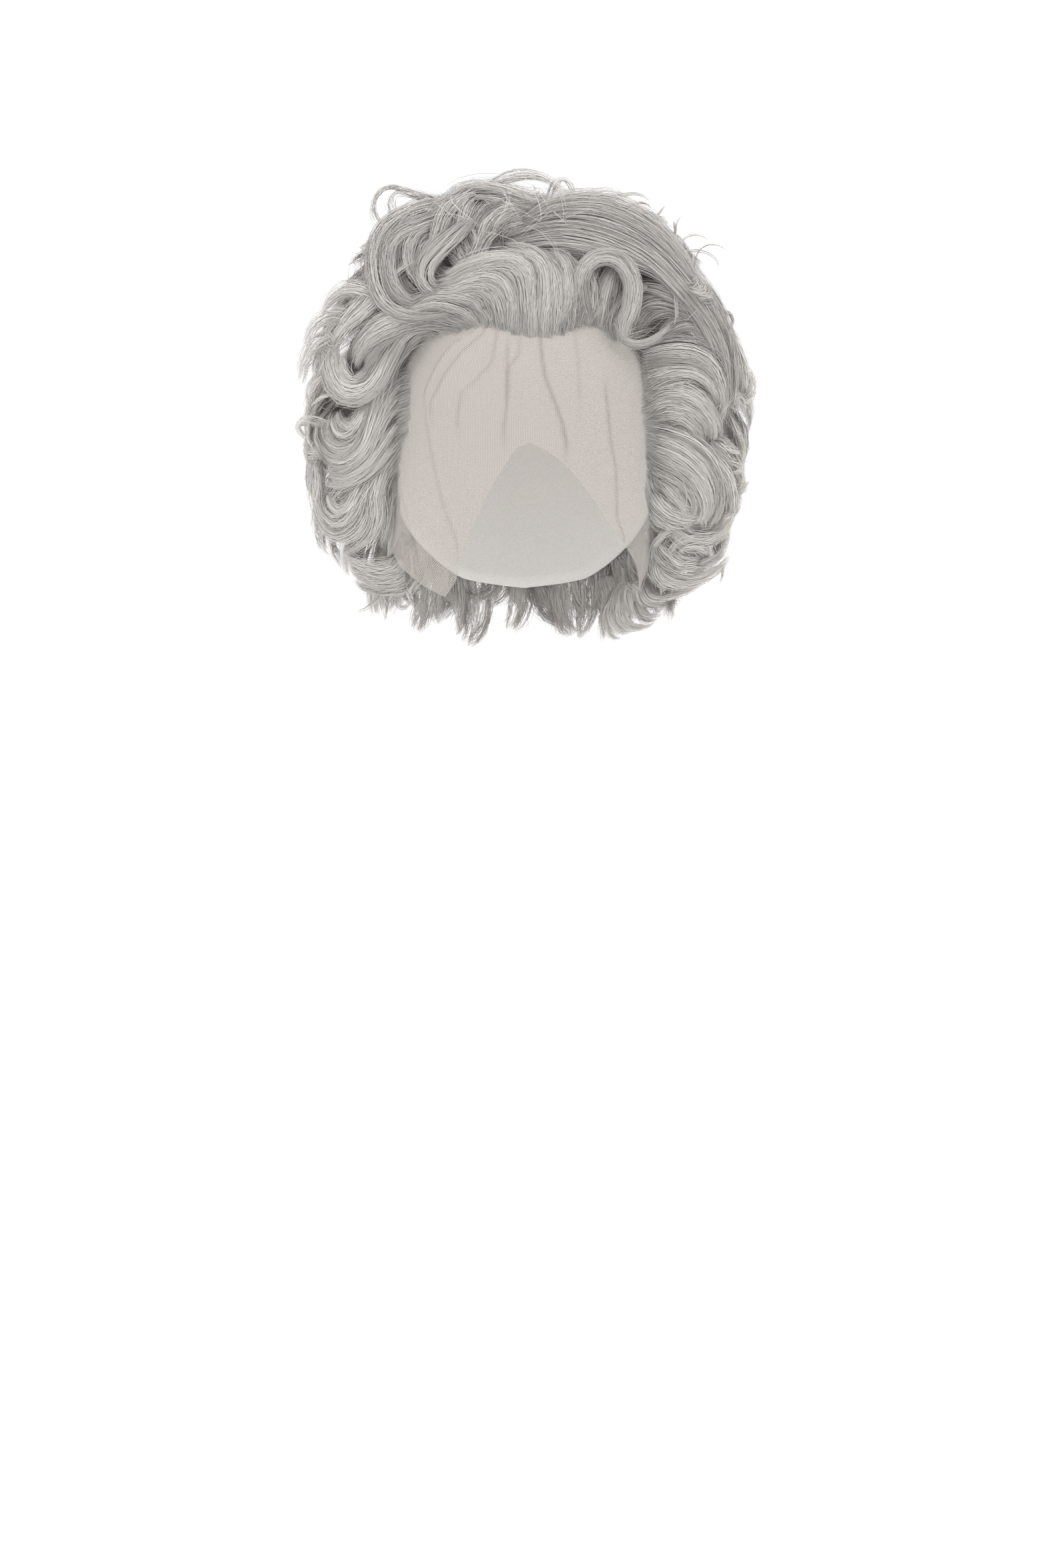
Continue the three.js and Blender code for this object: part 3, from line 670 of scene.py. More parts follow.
def guided_strands(row, per_width, layer, painted_shade, under=False):
    """A guided lock's strands, or those of the thinner hair that lies under it."""
    heights, width, back, *points = row
    width = width * LOCK_FULLNESS if width > THIN_LOCK else width
    front = smooth_path(points, GUIDE_STEPS)
    along = np.linspace(0, 1, GUIDE_STEPS)
    heights = np.interp(along, np.linspace(0, 1, len(heights)), heights)
    if under:
        heights = np.maximum(heights - UNDER_DROP, 0.5)
        width = width * UNDER_FULLNESS
    loop = heights.max() > LOOP_HEIGHT
    middle = laid_on_form(front, heights, back, layer, 0.5 if width <= 5 or loop else 1.0)
    face = unit((middle - HAIR_CENTRE) / HAIR_HALF_SIZES ** 2)
    face[:, 1] -= np.interp(middle[:, 2], *zip(*FACE_LEAN))
    face = unit(face)
    moves = np.diff(middle, axis=0)
    turns = np.degrees(np.arccos(np.clip(np.sum(unit(moves[1:]) * unit(moves[:-1]), axis=1), -1, 1))).sum()
    length = np.linalg.norm(moves, axis=1).sum()
    count = int(per_width * width * (0.4 if loop else 1)) + 3
    wisps = Wisps(count, width, painted_shade + UNDER_PAINTED_SHADE if under else painted_shade, flat=True)
    first = ROOT_STAGGER * chance.random((count, 1)) ** 2.5 / length
    share = first + (wisps.length[:, None] - first) * np.linspace(0, 1, lock_points(length, turns))
    path = np.stack([np.interp(share, along, middle[:, k]) for k in range(3)], axis=-1)
    faces = np.stack([np.interp(share, along, face[:, k]) for k in range(3)], axis=-1)
    return path, faces, wisps, width


def guided_bundles(rows, per_width=10, layer=0.4, under=2, painted_shade=0.0):
    """Every guided lock, and then the hair under those that are wide enough to have some."""
    over = [guided_strands(row, per_width, layer, painted_shade) for row in rows]
    backed = [row for row in rows if under and row[1] > THIN_LOCK]
    return over + [guided_strands(row, under, layer, painted_shade, under=True) for row in backed]


FRONT_LOCKS = [
    ((3, 16, 28, 36, 36, 34, 30), 10, 0, (800, 508), (800, 460), (797, 420), (785, 396), (760, 386),
     (725, 389), (690, 403), (660, 419)),
    ((3, 15, 26, 33, 34, 33, 30), 9, 0, (782, 505), (783, 460), (778, 425), (763, 404), (735, 398),
     (705, 406), (675, 421), (652, 426)),
    ((3, 14, 24, 31, 32, 31, 29), 9, 0, (766, 500), (768, 465), (763, 440), (749, 421), (726, 415),
     (700, 421), (672, 432), (652, 434)),
    ((3, 13, 22, 28, 30, 30, 30), 9, 0, (752, 496), (752, 472), (744, 447), (728, 432), (705, 428),
     (680, 434), (660, 437)),
    ((3, 12, 20, 26, 29, 31, 33), 9, 0, (739, 493), (737, 473), (727, 455), (708, 443), (685, 439),
     (660, 441), (640, 447)),
    ((3, 11, 19, 25, 30, 34, 36), 9, 0, (726, 491), (717, 475), (700, 461), (675, 452), (650, 449),
     (628, 456), (603, 463)),
    ((3, 10, 18, 24, 30, 35, 38), 10, 0, (714, 490), (704, 478), (685, 468), (655, 462), (625, 466),
     (595, 476), (568, 488), (545, 500)),
    ((3, 9, 16, 23, 30, 36, 39), 10, 0, (700, 491), (684, 480), (660, 473), (630, 474), (600, 484),
     (575, 504), (558, 530), (545, 555)),
    ((3, 8, 15, 22, 29, 36, 41, 43), 11, 0, (680, 495), (660, 484), (635, 482), (610, 492), (592, 512),
     (578, 540), (568, 570), (558, 600), (546, 640)),
    ((3, 6, 10, 16, 22, 28), 7, 0, (660, 497), (640, 492), (622, 500), (606, 518), (594, 540), (584, 565),
     (570, 600)),
    ((3, 17, 29, 36, 37, 37), 9, 0, (816, 508), (818, 460), (818, 420), (812, 397), (798, 383), (775, 378),
     (745, 381)),
    ((3, 17, 29, 36, 37, 37), 9, 0, (833, 503), (837, 460), (838, 425), (832, 400), (815, 385), (790, 378)),
    ((3, 17, 28, 35, 36, 36), 9, 0, (849, 497), (853, 455), (854, 425), (850, 402), (840, 386), (820, 378)),
    ((3, 16, 26, 33, 36), 7, 0, (864, 492), (867, 455), (867, 428), (865, 405), (858, 385)),
    ((3, 13, 22, 28, 32), 7, 0, (878, 490), (884, 460), (884, 430), (882, 405), (888, 380)),
    ((3, 10, 18, 24, 30), 9, 0, (900, 495), (905, 460), (912, 430), (925, 400), (945, 380)),
    ((2, 6, 10, 15, 20), 8, 0, (925, 512), (925, 490), (932, 465), (948, 440), (970, 425)),
    ((4, 14, 30, 42, 48, 50, 50, 50, 48, 45, 42, 40, 40, 41, 42, 42, 42), 5, 0, (886, 490), (878, 465),
     (873, 435), (876, 408), (890, 391), (910, 386), (930, 393), (944, 415), (946, 442), (940, 468),
     (931, 490), (934, 507), (948, 516), (968, 515), (988, 506), (1005, 493), (1022, 484)),
    ((40, 46, 48, 46, 42, 38), 6, 0, (922, 390), (944, 408), (952, 436), (947, 466), (937, 492),
     (940, 510)),
    ((5, 14, 28, 40, 46, 48, 48, 48, 46, 43, 40, 38), 4.5, 0, (882, 488), (872, 460), (869, 432),
     (873, 405), (889, 387), (911, 381), (934, 388), (950, 412), (953, 440), (947, 468), (936, 490),
     (930, 510)),
]
# painted shade: the front locks are darker
front_bundles = guided_bundles(FRONT_LOCKS, per_width=24, painted_shade=-0.25)
finished_hair(ribbon_mesh("hair_front_locks", front_bundles), "hair_front")

# The crown: locks tied into the cap's top that sweep up and over from the parting, long waves to +X, big
# curls and thin loops to -X. Behind them, rows of curls sewn round the cap close the top of the head.
CROWN_LOCKS = [
    ((34, 44, 46, 46, 46, 46, 46, 47, 47), 12, 0, (790, 330), (830, 306), (870, 298), (910, 299),
     (945, 311), (978, 330), (1003, 356), (1025, 388), (1048, 424), (1068, 462), (1082, 500)),
    ((30, 42, 46, 47, 47, 47, 47, 47, 46), 12, 0, (780, 345), (820, 321), (860, 313), (900, 315),
     (940, 328), (975, 348), (1005, 376), (1035, 415), (1060, 455), (1082, 500), (1095, 545), (1100, 592)),
    ((28, 40, 45, 46, 46, 46, 46, 46), 12, 0, (768, 357), (810, 339), (850, 331), (890, 333), (930, 346),
     (965, 366), (995, 391), (1025, 425), (1055, 466), (1078, 510), (1090, 560), (1094, 605)),
    ((26, 38, 43, 44, 44, 44, 44, 44), 11, 0, (758, 366), (800, 353), (840, 347), (880, 351), (920, 363),
     (955, 379), (985, 399), (1012, 425), (1042, 456), (1068, 490), (1084, 530), (1090, 572)),
    ((26, 36, 40, 41, 41, 41, 41), 10, 0, (765, 373), (810, 364), (850, 363), (890, 370), (925, 381),
     (960, 391), (990, 405), (1018, 430), (1045, 460), (1068, 493), (1080, 530)),
    ((34, 40, 44, 46, 46), 3, 0, (960, 393), (985, 402), (1004, 419), (1013, 442), (1015, 470),
     (1012, 488)),
    ((30, 38, 42, 43, 43), 8, 0, (945, 396), (970, 396), (997, 408), (1022, 433), (1046, 462), (1066, 494),
     (1080, 528)),
    ((26, 36, 40, 42, 42), 8, 0, (950, 428), (978, 429), (1006, 440), (1033, 457), (1058, 482),
     (1076, 517), (1085, 552)),
    ((20, 30, 36, 40, 42), 8, 0, (948, 474), (962, 456), (985, 449), (1012, 456), (1040, 471), (1063, 496),
     (1078, 530)),
    ((18, 28, 34, 38, 40), 8, 0, (955, 492), (972, 470), (1000, 461), (1030, 468), (1055, 486),
     (1072, 515), (1080, 548)),
    ((28, 36, 40, 42, 42), 7, 0, (995, 502), (1018, 486), (1042, 486), (1063, 505), (1076, 535),
     (1084, 570), (1086, 602)),
    ((24, 44, 50, 50, 48), 9, 0, (1024, 398), (1052, 432), (1076, 472), (1092, 515), (1099, 560),
     (1099, 600), (1092, 632)),
    ((40, 47, 49, 49, 48), 12, 8, (664, 308), (688, 286), (720, 278), (752, 283), (778, 292), (812, 300),
     (850, 300)),
    ((38, 46, 48, 48), 9, 0, (690, 300), (715, 290), (745, 292), (775, 300), (810, 306)),
    ((28, 54, 60, 58, 28), 7, 8, (716, 306), (737, 279), (756, 265), (782, 259), (812, 264), (836, 279),
     (866, 312)),
    ((28, 52, 57, 55, 28), 7, 22, (720, 310), (742, 284), (766, 272), (795, 268), (822, 276), (854, 308)),
    ((28, 50, 54, 28), 4, 16, (820, 312), (827, 287), (835, 273), (846, 270), (857, 279), (868, 312)),
    ((26, 36, 42, 45, 46, 46), 8, 0, (724, 380), (716, 362), (720, 340), (735, 319), (757, 308),
     (783, 304), (812, 308)),
    ((24, 33, 38, 41, 42), 9, 0, (736, 376), (731, 352), (744, 330), (768, 318), (795, 318)),
    ((22, 30, 35, 38), 9, 0, (750, 374), (750, 352), (765, 338), (790, 330)),
    ((28, 32, 34, 36), 7, 0, (704, 346), (708, 325), (722, 308), (740, 300)),
    ((26, 42, 43, 40, 36), 9, 0, (726, 304), (700, 296), (682, 310), (668, 330), (660, 352), (652, 375),
     (640, 398)),
    ((26, 41, 42, 38), 8, 0, (740, 308), (716, 297), (700, 312), (692, 334), (684, 352), (668, 372)),
    ((40, 43, 44, 44, 42, 38, 34), 9, 0, (702, 332), (682, 351), (660, 371), (645, 388), (637, 405),
     (637, 421), (646, 434), (666, 441), (692, 442)),
    ((40, 41, 40, 36), 4, 0, (704, 336), (712, 360), (717, 385), (714, 404)),
    ((32, 34, 34, 32), 7, 0, (674, 368), (688, 388), (702, 404)),
    ((30, 32, 32, 30), 7, 0, (690, 356), (700, 375), (708, 396)),
    ((26, 30, 32, 30), 8, 0, (652, 398), (664, 410), (684, 414), (706, 408)),
    ((26, 42, 47, 47, 46, 44, 42, 40), 10, 0, (690, 326), (658, 311), (622, 319), (592, 332), (574, 350),
     (566, 376), (565, 405), (571, 434), (587, 457), (614, 468), (650, 467), (690, 462)),
    ((26, 40, 45, 45, 44, 42, 40), 9, 0, (690, 338), (662, 328), (632, 338), (606, 348), (588, 364),
     (582, 388), (586, 416), (600, 441), (626, 456), (656, 456)),
    ((38, 42, 42, 40, 38), 7, 0, (650, 340), (626, 352), (614, 372), (616, 398), (628, 420), (646, 436)),
    ((38, 40, 39, 37), 6, 0, (656, 352), (638, 368), (632, 388), (636, 408)),
    ((30, 34, 34, 30), 8, 0, (612, 358), (596, 382), (596, 412), (610, 436), (630, 450)),
    ((28, 44, 49, 48), 9, 0, (686, 320), (658, 304), (634, 304), (612, 315), (590, 330), (572, 350),
     (562, 378)),
    ((26, 48, 56, 56, 50, 24), 6, 14, (678, 322), (648, 298), (618, 286), (592, 278), (571, 283),
     (560, 299), (558, 316), (568, 334), (592, 352)),
    ((26, 48, 54, 50, 24), 6, 4, (676, 326), (646, 300), (616, 291), (597, 289), (588, 300), (594, 318),
     (616, 338)),
    ((44, 50, 52, 50, 46), 2.5, 0, (572, 356), (554, 372), (545, 394), (548, 419), (558, 437)),
    ((26, 42, 44, 42), 10, 0, (738, 302), (708, 290), (684, 299), (660, 312), (640, 330)),
    ((44, 52, 56, 54), 1.6, 0, (1036, 420), (1043, 382), (1058, 368), (1078, 368), (1092, 378)),
    ((44, 50, 54, 54), 1.2, 0, (1022, 382), (1024, 362), (1036, 353), (1052, 354), (1066, 362)),
    ((44, 50, 54), 1.2, 0, (1010, 372), (1013, 346), (1016, 332), (1024, 322)),
    ((44, 50, 54, 54), 1.4, 0, (1015, 380), (1040, 376), (1062, 380), (1076, 392), (1080, 408)),
    ((44, 48, 50), 2, 0, (975, 335), (990, 318), (998, 308)),
    ((32, 47, 50), 2, 0, (940, 312), (962, 304), (980, 312)),
    ((32, 48, 53), 4.5, 0, (935, 322), (966, 318), (992, 328), (1010, 344)),
    ((32, 48, 53), 4.5, 0, (980, 352), (1008, 354), (1030, 372), (1040, 394)),
    ((32, 48, 52), 4.5, 0, (1012, 394), (1038, 400), (1058, 420), (1068, 446)),
    ((24, 46, 52), 4.5, 0, (1016, 412), (1060, 438), (1082, 462), (1094, 486)),
    ((32, 48, 52), 3.5, 0, (868, 300), (896, 286), (922, 286), (940, 296)),
    ((32, 48, 52), 2, 0, (910, 302), (938, 290), (962, 292), (976, 302)),
    ((32, 47, 50), 2, 0, (900, 300), (925, 290), (950, 300)),
    ((44, 48, 50), 2, 0, (1000, 362), (1014, 350), (1012, 330)),
]

# polar angle, from and to azimuth, locks in the row, bearing, length, degrees of bend in 10 mm at root and
# tip, height at root, belly and tip, width
CROWN_WEFTS = [
    (3, 80, 280, 6, 170, 58, 8, 18, 30, 48, 48, 24),
    (15, 84, 276, 9, 168, 60, 8, 24, 30, 50, 48, 24),
    (27, 84, 276, 13, 170, 58, 8, 28, 30, 50, 49, 24),
    (28, -74, -44, 3, 196, 56, 8, 22, 14, 34, 36, 24),
    (28, 44, 74, 3, 164, 56, -8, -22, 14, 34, 36, 24),
    (18, -64, 64, 6, 10, 52, 4, 18, 24, 40, 40, 24),
    (30, -98, -66, 4, 200, 56, 8, 26, 18, 44, 44, 22),
    (30, 66, 98, 4, 160, 56, -8, -26, 18, 44, 44, 22),
    (22, -120, -76, 5, 196, 50, 8, 22, 28, 52, 54, 22),
    (22, 76, 120, 5, 164, 50, -8, -22, 28, 50, 52, 22),
]


def weft_strands(row, number, per_width, painted_shade=0.0):
    """One curl of a row: its strands walk over the head as they bend, one way or the other."""
    polar, az_from, az_to, locks, bearing, length, bend_root, bend_tip, *heights, width = row
    lift_root, lift_belly, lift_tip = heights
    turn = 1 if chance.random() < 0.6 else -1
    az = az_from + (az_to - az_from) * number / max(1, locks - 1) + chance.normal(0, 2.5)
    bearing = bearing + chance.normal(0, 11)
    length = length * chance.uniform(0.85, 1.2)
    grip = chance.uniform(0.7, 1.35)
    wave = chance.uniform(-14, 14)
    rise = chance.normal(0, 2)
    width = width * chance.uniform(0.7, 1.15)
    count = int(per_width * width)
    wisps = Wisps(count, width, painted_shade)
    out = np.repeat(towards(az, max(2.0, polar + chance.normal(0, 2.5)))[None], count, axis=0)
    points = lock_points(length, abs(bend_root + bend_tip) / 20 * length)
    stride = length * wisps.length / (points - 1)
    belly = 2 * lift_belly - (lift_root + lift_tip) / 2

    def lift_at(step, here):
        share = step / (points - 1)
        bow = (1 - share) ** 2 * lift_root + 2 * share * (1 - share) * belly + share ** 2 * lift_tip
        return bow + rise * share

    def bend_at(step):
        share = step / (points - 1)
        bend = (bend_root + (bend_tip - bend_root) * share) * grip + wave * math.sin(2 * math.pi * share)
        return -turn * bend * wisps.bend * stride / 10

    path, faces = walked(out, headed(out, bearing + wisps.turn), stride, points, lift_at, bend_at)
    return path, faces, wisps, width


def weft_bundles(rows, per_width=6.6, painted_shade=0.0):
    return [weft_strands(row, number, per_width, painted_shade) for row in rows for number in range(row[3])]


# painted shade: the crown's locks and wefts are darker, the top of the head
crown_bundles = guided_bundles(CROWN_LOCKS, layer=1.0, under=0, painted_shade=-0.28)
crown_bundles += weft_bundles(CROWN_WEFTS, painted_shade=-0.12)
finished_hair(ribbon_mesh("hair_crown_locks", crown_bundles), "hair_crown")

# The hair on the -X side: close U-curls tied in from the hairline back, with loose arcs and a hook at the
# edge. Rows of curls sewn round the cap close the side behind them.
LEFT_LOCKS = [
    ((26, 32, 34, 32), 12, 6, (538, 702), (512, 732), (494, 762), (486, 800)),
    ((24, 34, 42, 46, 48, 48, 48, 47, 45), 8, 0, (602, 503), (582, 535), (567, 566), (548, 588),
     (525, 595), (505, 583), (492, 556), (490, 525), (498, 500), (516, 480)),
    ((24, 36, 42, 45, 46, 46, 45, 43), 7, 0, (588, 536), (568, 566), (547, 580), (526, 582), (510, 568),
     (502, 545), (503, 520), (513, 500)),
    ((26, 36, 41, 43, 42, 40), 6, 0, (562, 548), (546, 566), (529, 573), (516, 561), (511, 540),
     (515, 518)),
    ((26, 34, 38, 38, 34), 10, 0, (622, 470), (586, 482), (556, 500), (537, 525), (530, 552)),
    ((34, 42, 45, 46, 46), 9, 0, (566, 440), (544, 464), (521, 486), (504, 508), (496, 535)),
    ((3, 18, 32, 42, 46, 48, 48, 48, 48, 46, 44), 8, 0, (618, 560), (592, 574), (569, 605), (556, 640),
     (545, 668), (525, 688), (503, 692), (485, 678), (476, 655), (478, 630), (491, 611)),
    ((3, 18, 31, 40, 44, 46, 46, 46, 44), 8, 0, (618, 580), (595, 590), (575, 615), (560, 645), (545, 662),
     (525, 675), (505, 675), (490, 660), (487, 640), (496, 621)),
    ((28, 38, 43, 44, 43, 41), 7, 0, (562, 598), (551, 630), (536, 652), (517, 660), (502, 650),
     (497, 631), (506, 613)),
    ((28, 36, 40, 40, 37), 6, 0, (552, 594), (541, 620), (526, 636), (512, 630), (508, 612)),
    ((3, 17, 30, 39, 43, 45, 46, 45), 8, 0, (618, 596), (600, 603), (581, 614), (566, 636), (555, 662),
     (540, 686), (520, 701), (500, 702), (484, 690)),
    ((3, 16, 28, 37, 43, 46, 47, 46), 9, 0, (617, 618), (599, 627), (581, 646), (565, 669), (548, 691),
     (530, 706), (510, 713), (492, 706), (478, 690)),
    ((3, 16, 27, 36, 43, 47, 48, 47), 9, 0, (615, 640), (599, 648), (580, 666), (562, 690), (545, 708),
     (522, 721), (498, 728), (480, 722)),
    ((3, 17, 30, 40, 44, 46, 47, 47, 46, 44), 9, 0, (609, 655), (586, 680), (569, 705), (560, 737),
     (551, 772), (534, 797), (511, 808), (490, 800), (477, 780), (470, 756), (470, 732)),
    ((3, 16, 28, 38, 43, 45, 45, 44), 8, 0, (604, 668), (581, 692), (559, 720), (541, 746), (528, 771),
     (510, 785), (492, 778), (482, 760), (478, 738)),
    ((28, 37, 42, 43, 42), 7, 0, (552, 713), (536, 740), (525, 760), (510, 768), (497, 758), (490, 740)),
    ((34, 44, 48, 47, 44), 7, 0, (474, 690), (476, 722), (474, 750), (480, 776), (494, 797)),
    ((3, 15, 27, 37, 44, 47, 48, 48), 9, 0, (602, 664), (581, 690), (569, 715), (565, 745), (566, 774),
     (558, 800), (540, 818), (512, 833)),
    ((3, 10, 16, 22, 26), 7, 0, (600, 700), (588, 724), (580, 755), (578, 790), (572, 825)),
    ((3, 8, 14, 20), 7, 0, (598, 735), (594, 765), (590, 800), (584, 840)),
    ((14, 30, 40, 44, 46), 9, 0, (602, 838), (590, 850), (570, 855), (545, 850), (525, 841), (510, 832)),
    ((12, 28, 38, 42, 44), 9, 0, (612, 858), (590, 868), (565, 870), (540, 862), (520, 846)),
    ((10, 24, 34, 40, 42), 8, 0, (618, 873), (592, 880), (566, 882), (545, 880), (530, 866)),
    ((8, 16, 22, 24), 9, 6, (628, 846), (618, 862), (604, 872), (586, 874)),
    ((24, 34, 38, 38), 2, 0, (582, 880), (566, 899), (549, 912), (533, 917)),
    ((24, 32, 36), 1.5, 0, (562, 878), (570, 903), (574, 921)),
    ((24, 32, 36), 1.5, 0, (572, 880), (582, 905), (588, 916)),
    ((4, 12, 20, 22, 18), 4, 14, (616, 842), (612, 868), (599, 892), (598, 910), (608, 912), (618, 899)),
    ((36, 46, 52, 52, 50), 7, 0, (570, 444), (545, 435), (520, 432), (500, 440), (487, 456), (480, 478)),
    ((36, 46, 50, 50), 3, 0, (562, 448), (535, 441), (510, 446), (492, 461), (482, 482)),
    ((38, 46, 52, 52, 50), 6, 0, (535, 478), (505, 472), (485, 478), (468, 492), (458, 515), (455, 534)),
    ((40, 48, 52, 52, 50), 8, 0, (506, 498), (485, 506), (470, 517), (460, 532), (453, 552), (450, 578)),
    ((40, 48, 50, 50), 4, 0, (498, 514), (477, 528), (470, 546), (471, 566)),
    ((40, 48, 52, 50), 5, 0, (496, 556), (475, 571), (464, 592), (465, 618)),
    ((40, 48, 52), 3, 0, (505, 590), (482, 595), (465, 610)),
    ((40, 50, 54, 54, 52, 48), 4.5, 0, (498, 640), (475, 631), (455, 630), (446, 640), (452, 652),
     (463, 658), (476, 650)),
    ((40, 48, 52, 50), 3, 0, (478, 655), (463, 664), (458, 676), (463, 693), (472, 708)),
]
LEFT_WEFTS = [
    (40, -128, -70, 5, 176, 58, 8, 26, 30, 47, 48, 24),
    (52, -130, -76, 5, 178, 58, 8, 28, 30, 48, 49, 24),
    (64, -128, -82, 5, 180, 58, 8, 30, 30, 48, 49, 24),
    (76, -130, -84, 5, 176, 56, 8, 30, 30, 48, 49, 24),
    (88, -128, -86, 5, 180, 56, 8, 32, 28, 47, 48, 24),
    (100, -132, -95, 5, 178, 54, 10, 34, 24, 46, 48, 22),
    (112, -130, -98, 5, 180, 44, 10, 36, 14, 32, 36, 22),
    (121, -130, -92, 5, 180, 36, 10, 38, 6, 22, 28, 20),
]
left_bundles = guided_bundles(LEFT_LOCKS) + weft_bundles(LEFT_WEFTS)
finished_hair(ribbon_mesh("hair_left_locks", left_bundles), "hair_left")

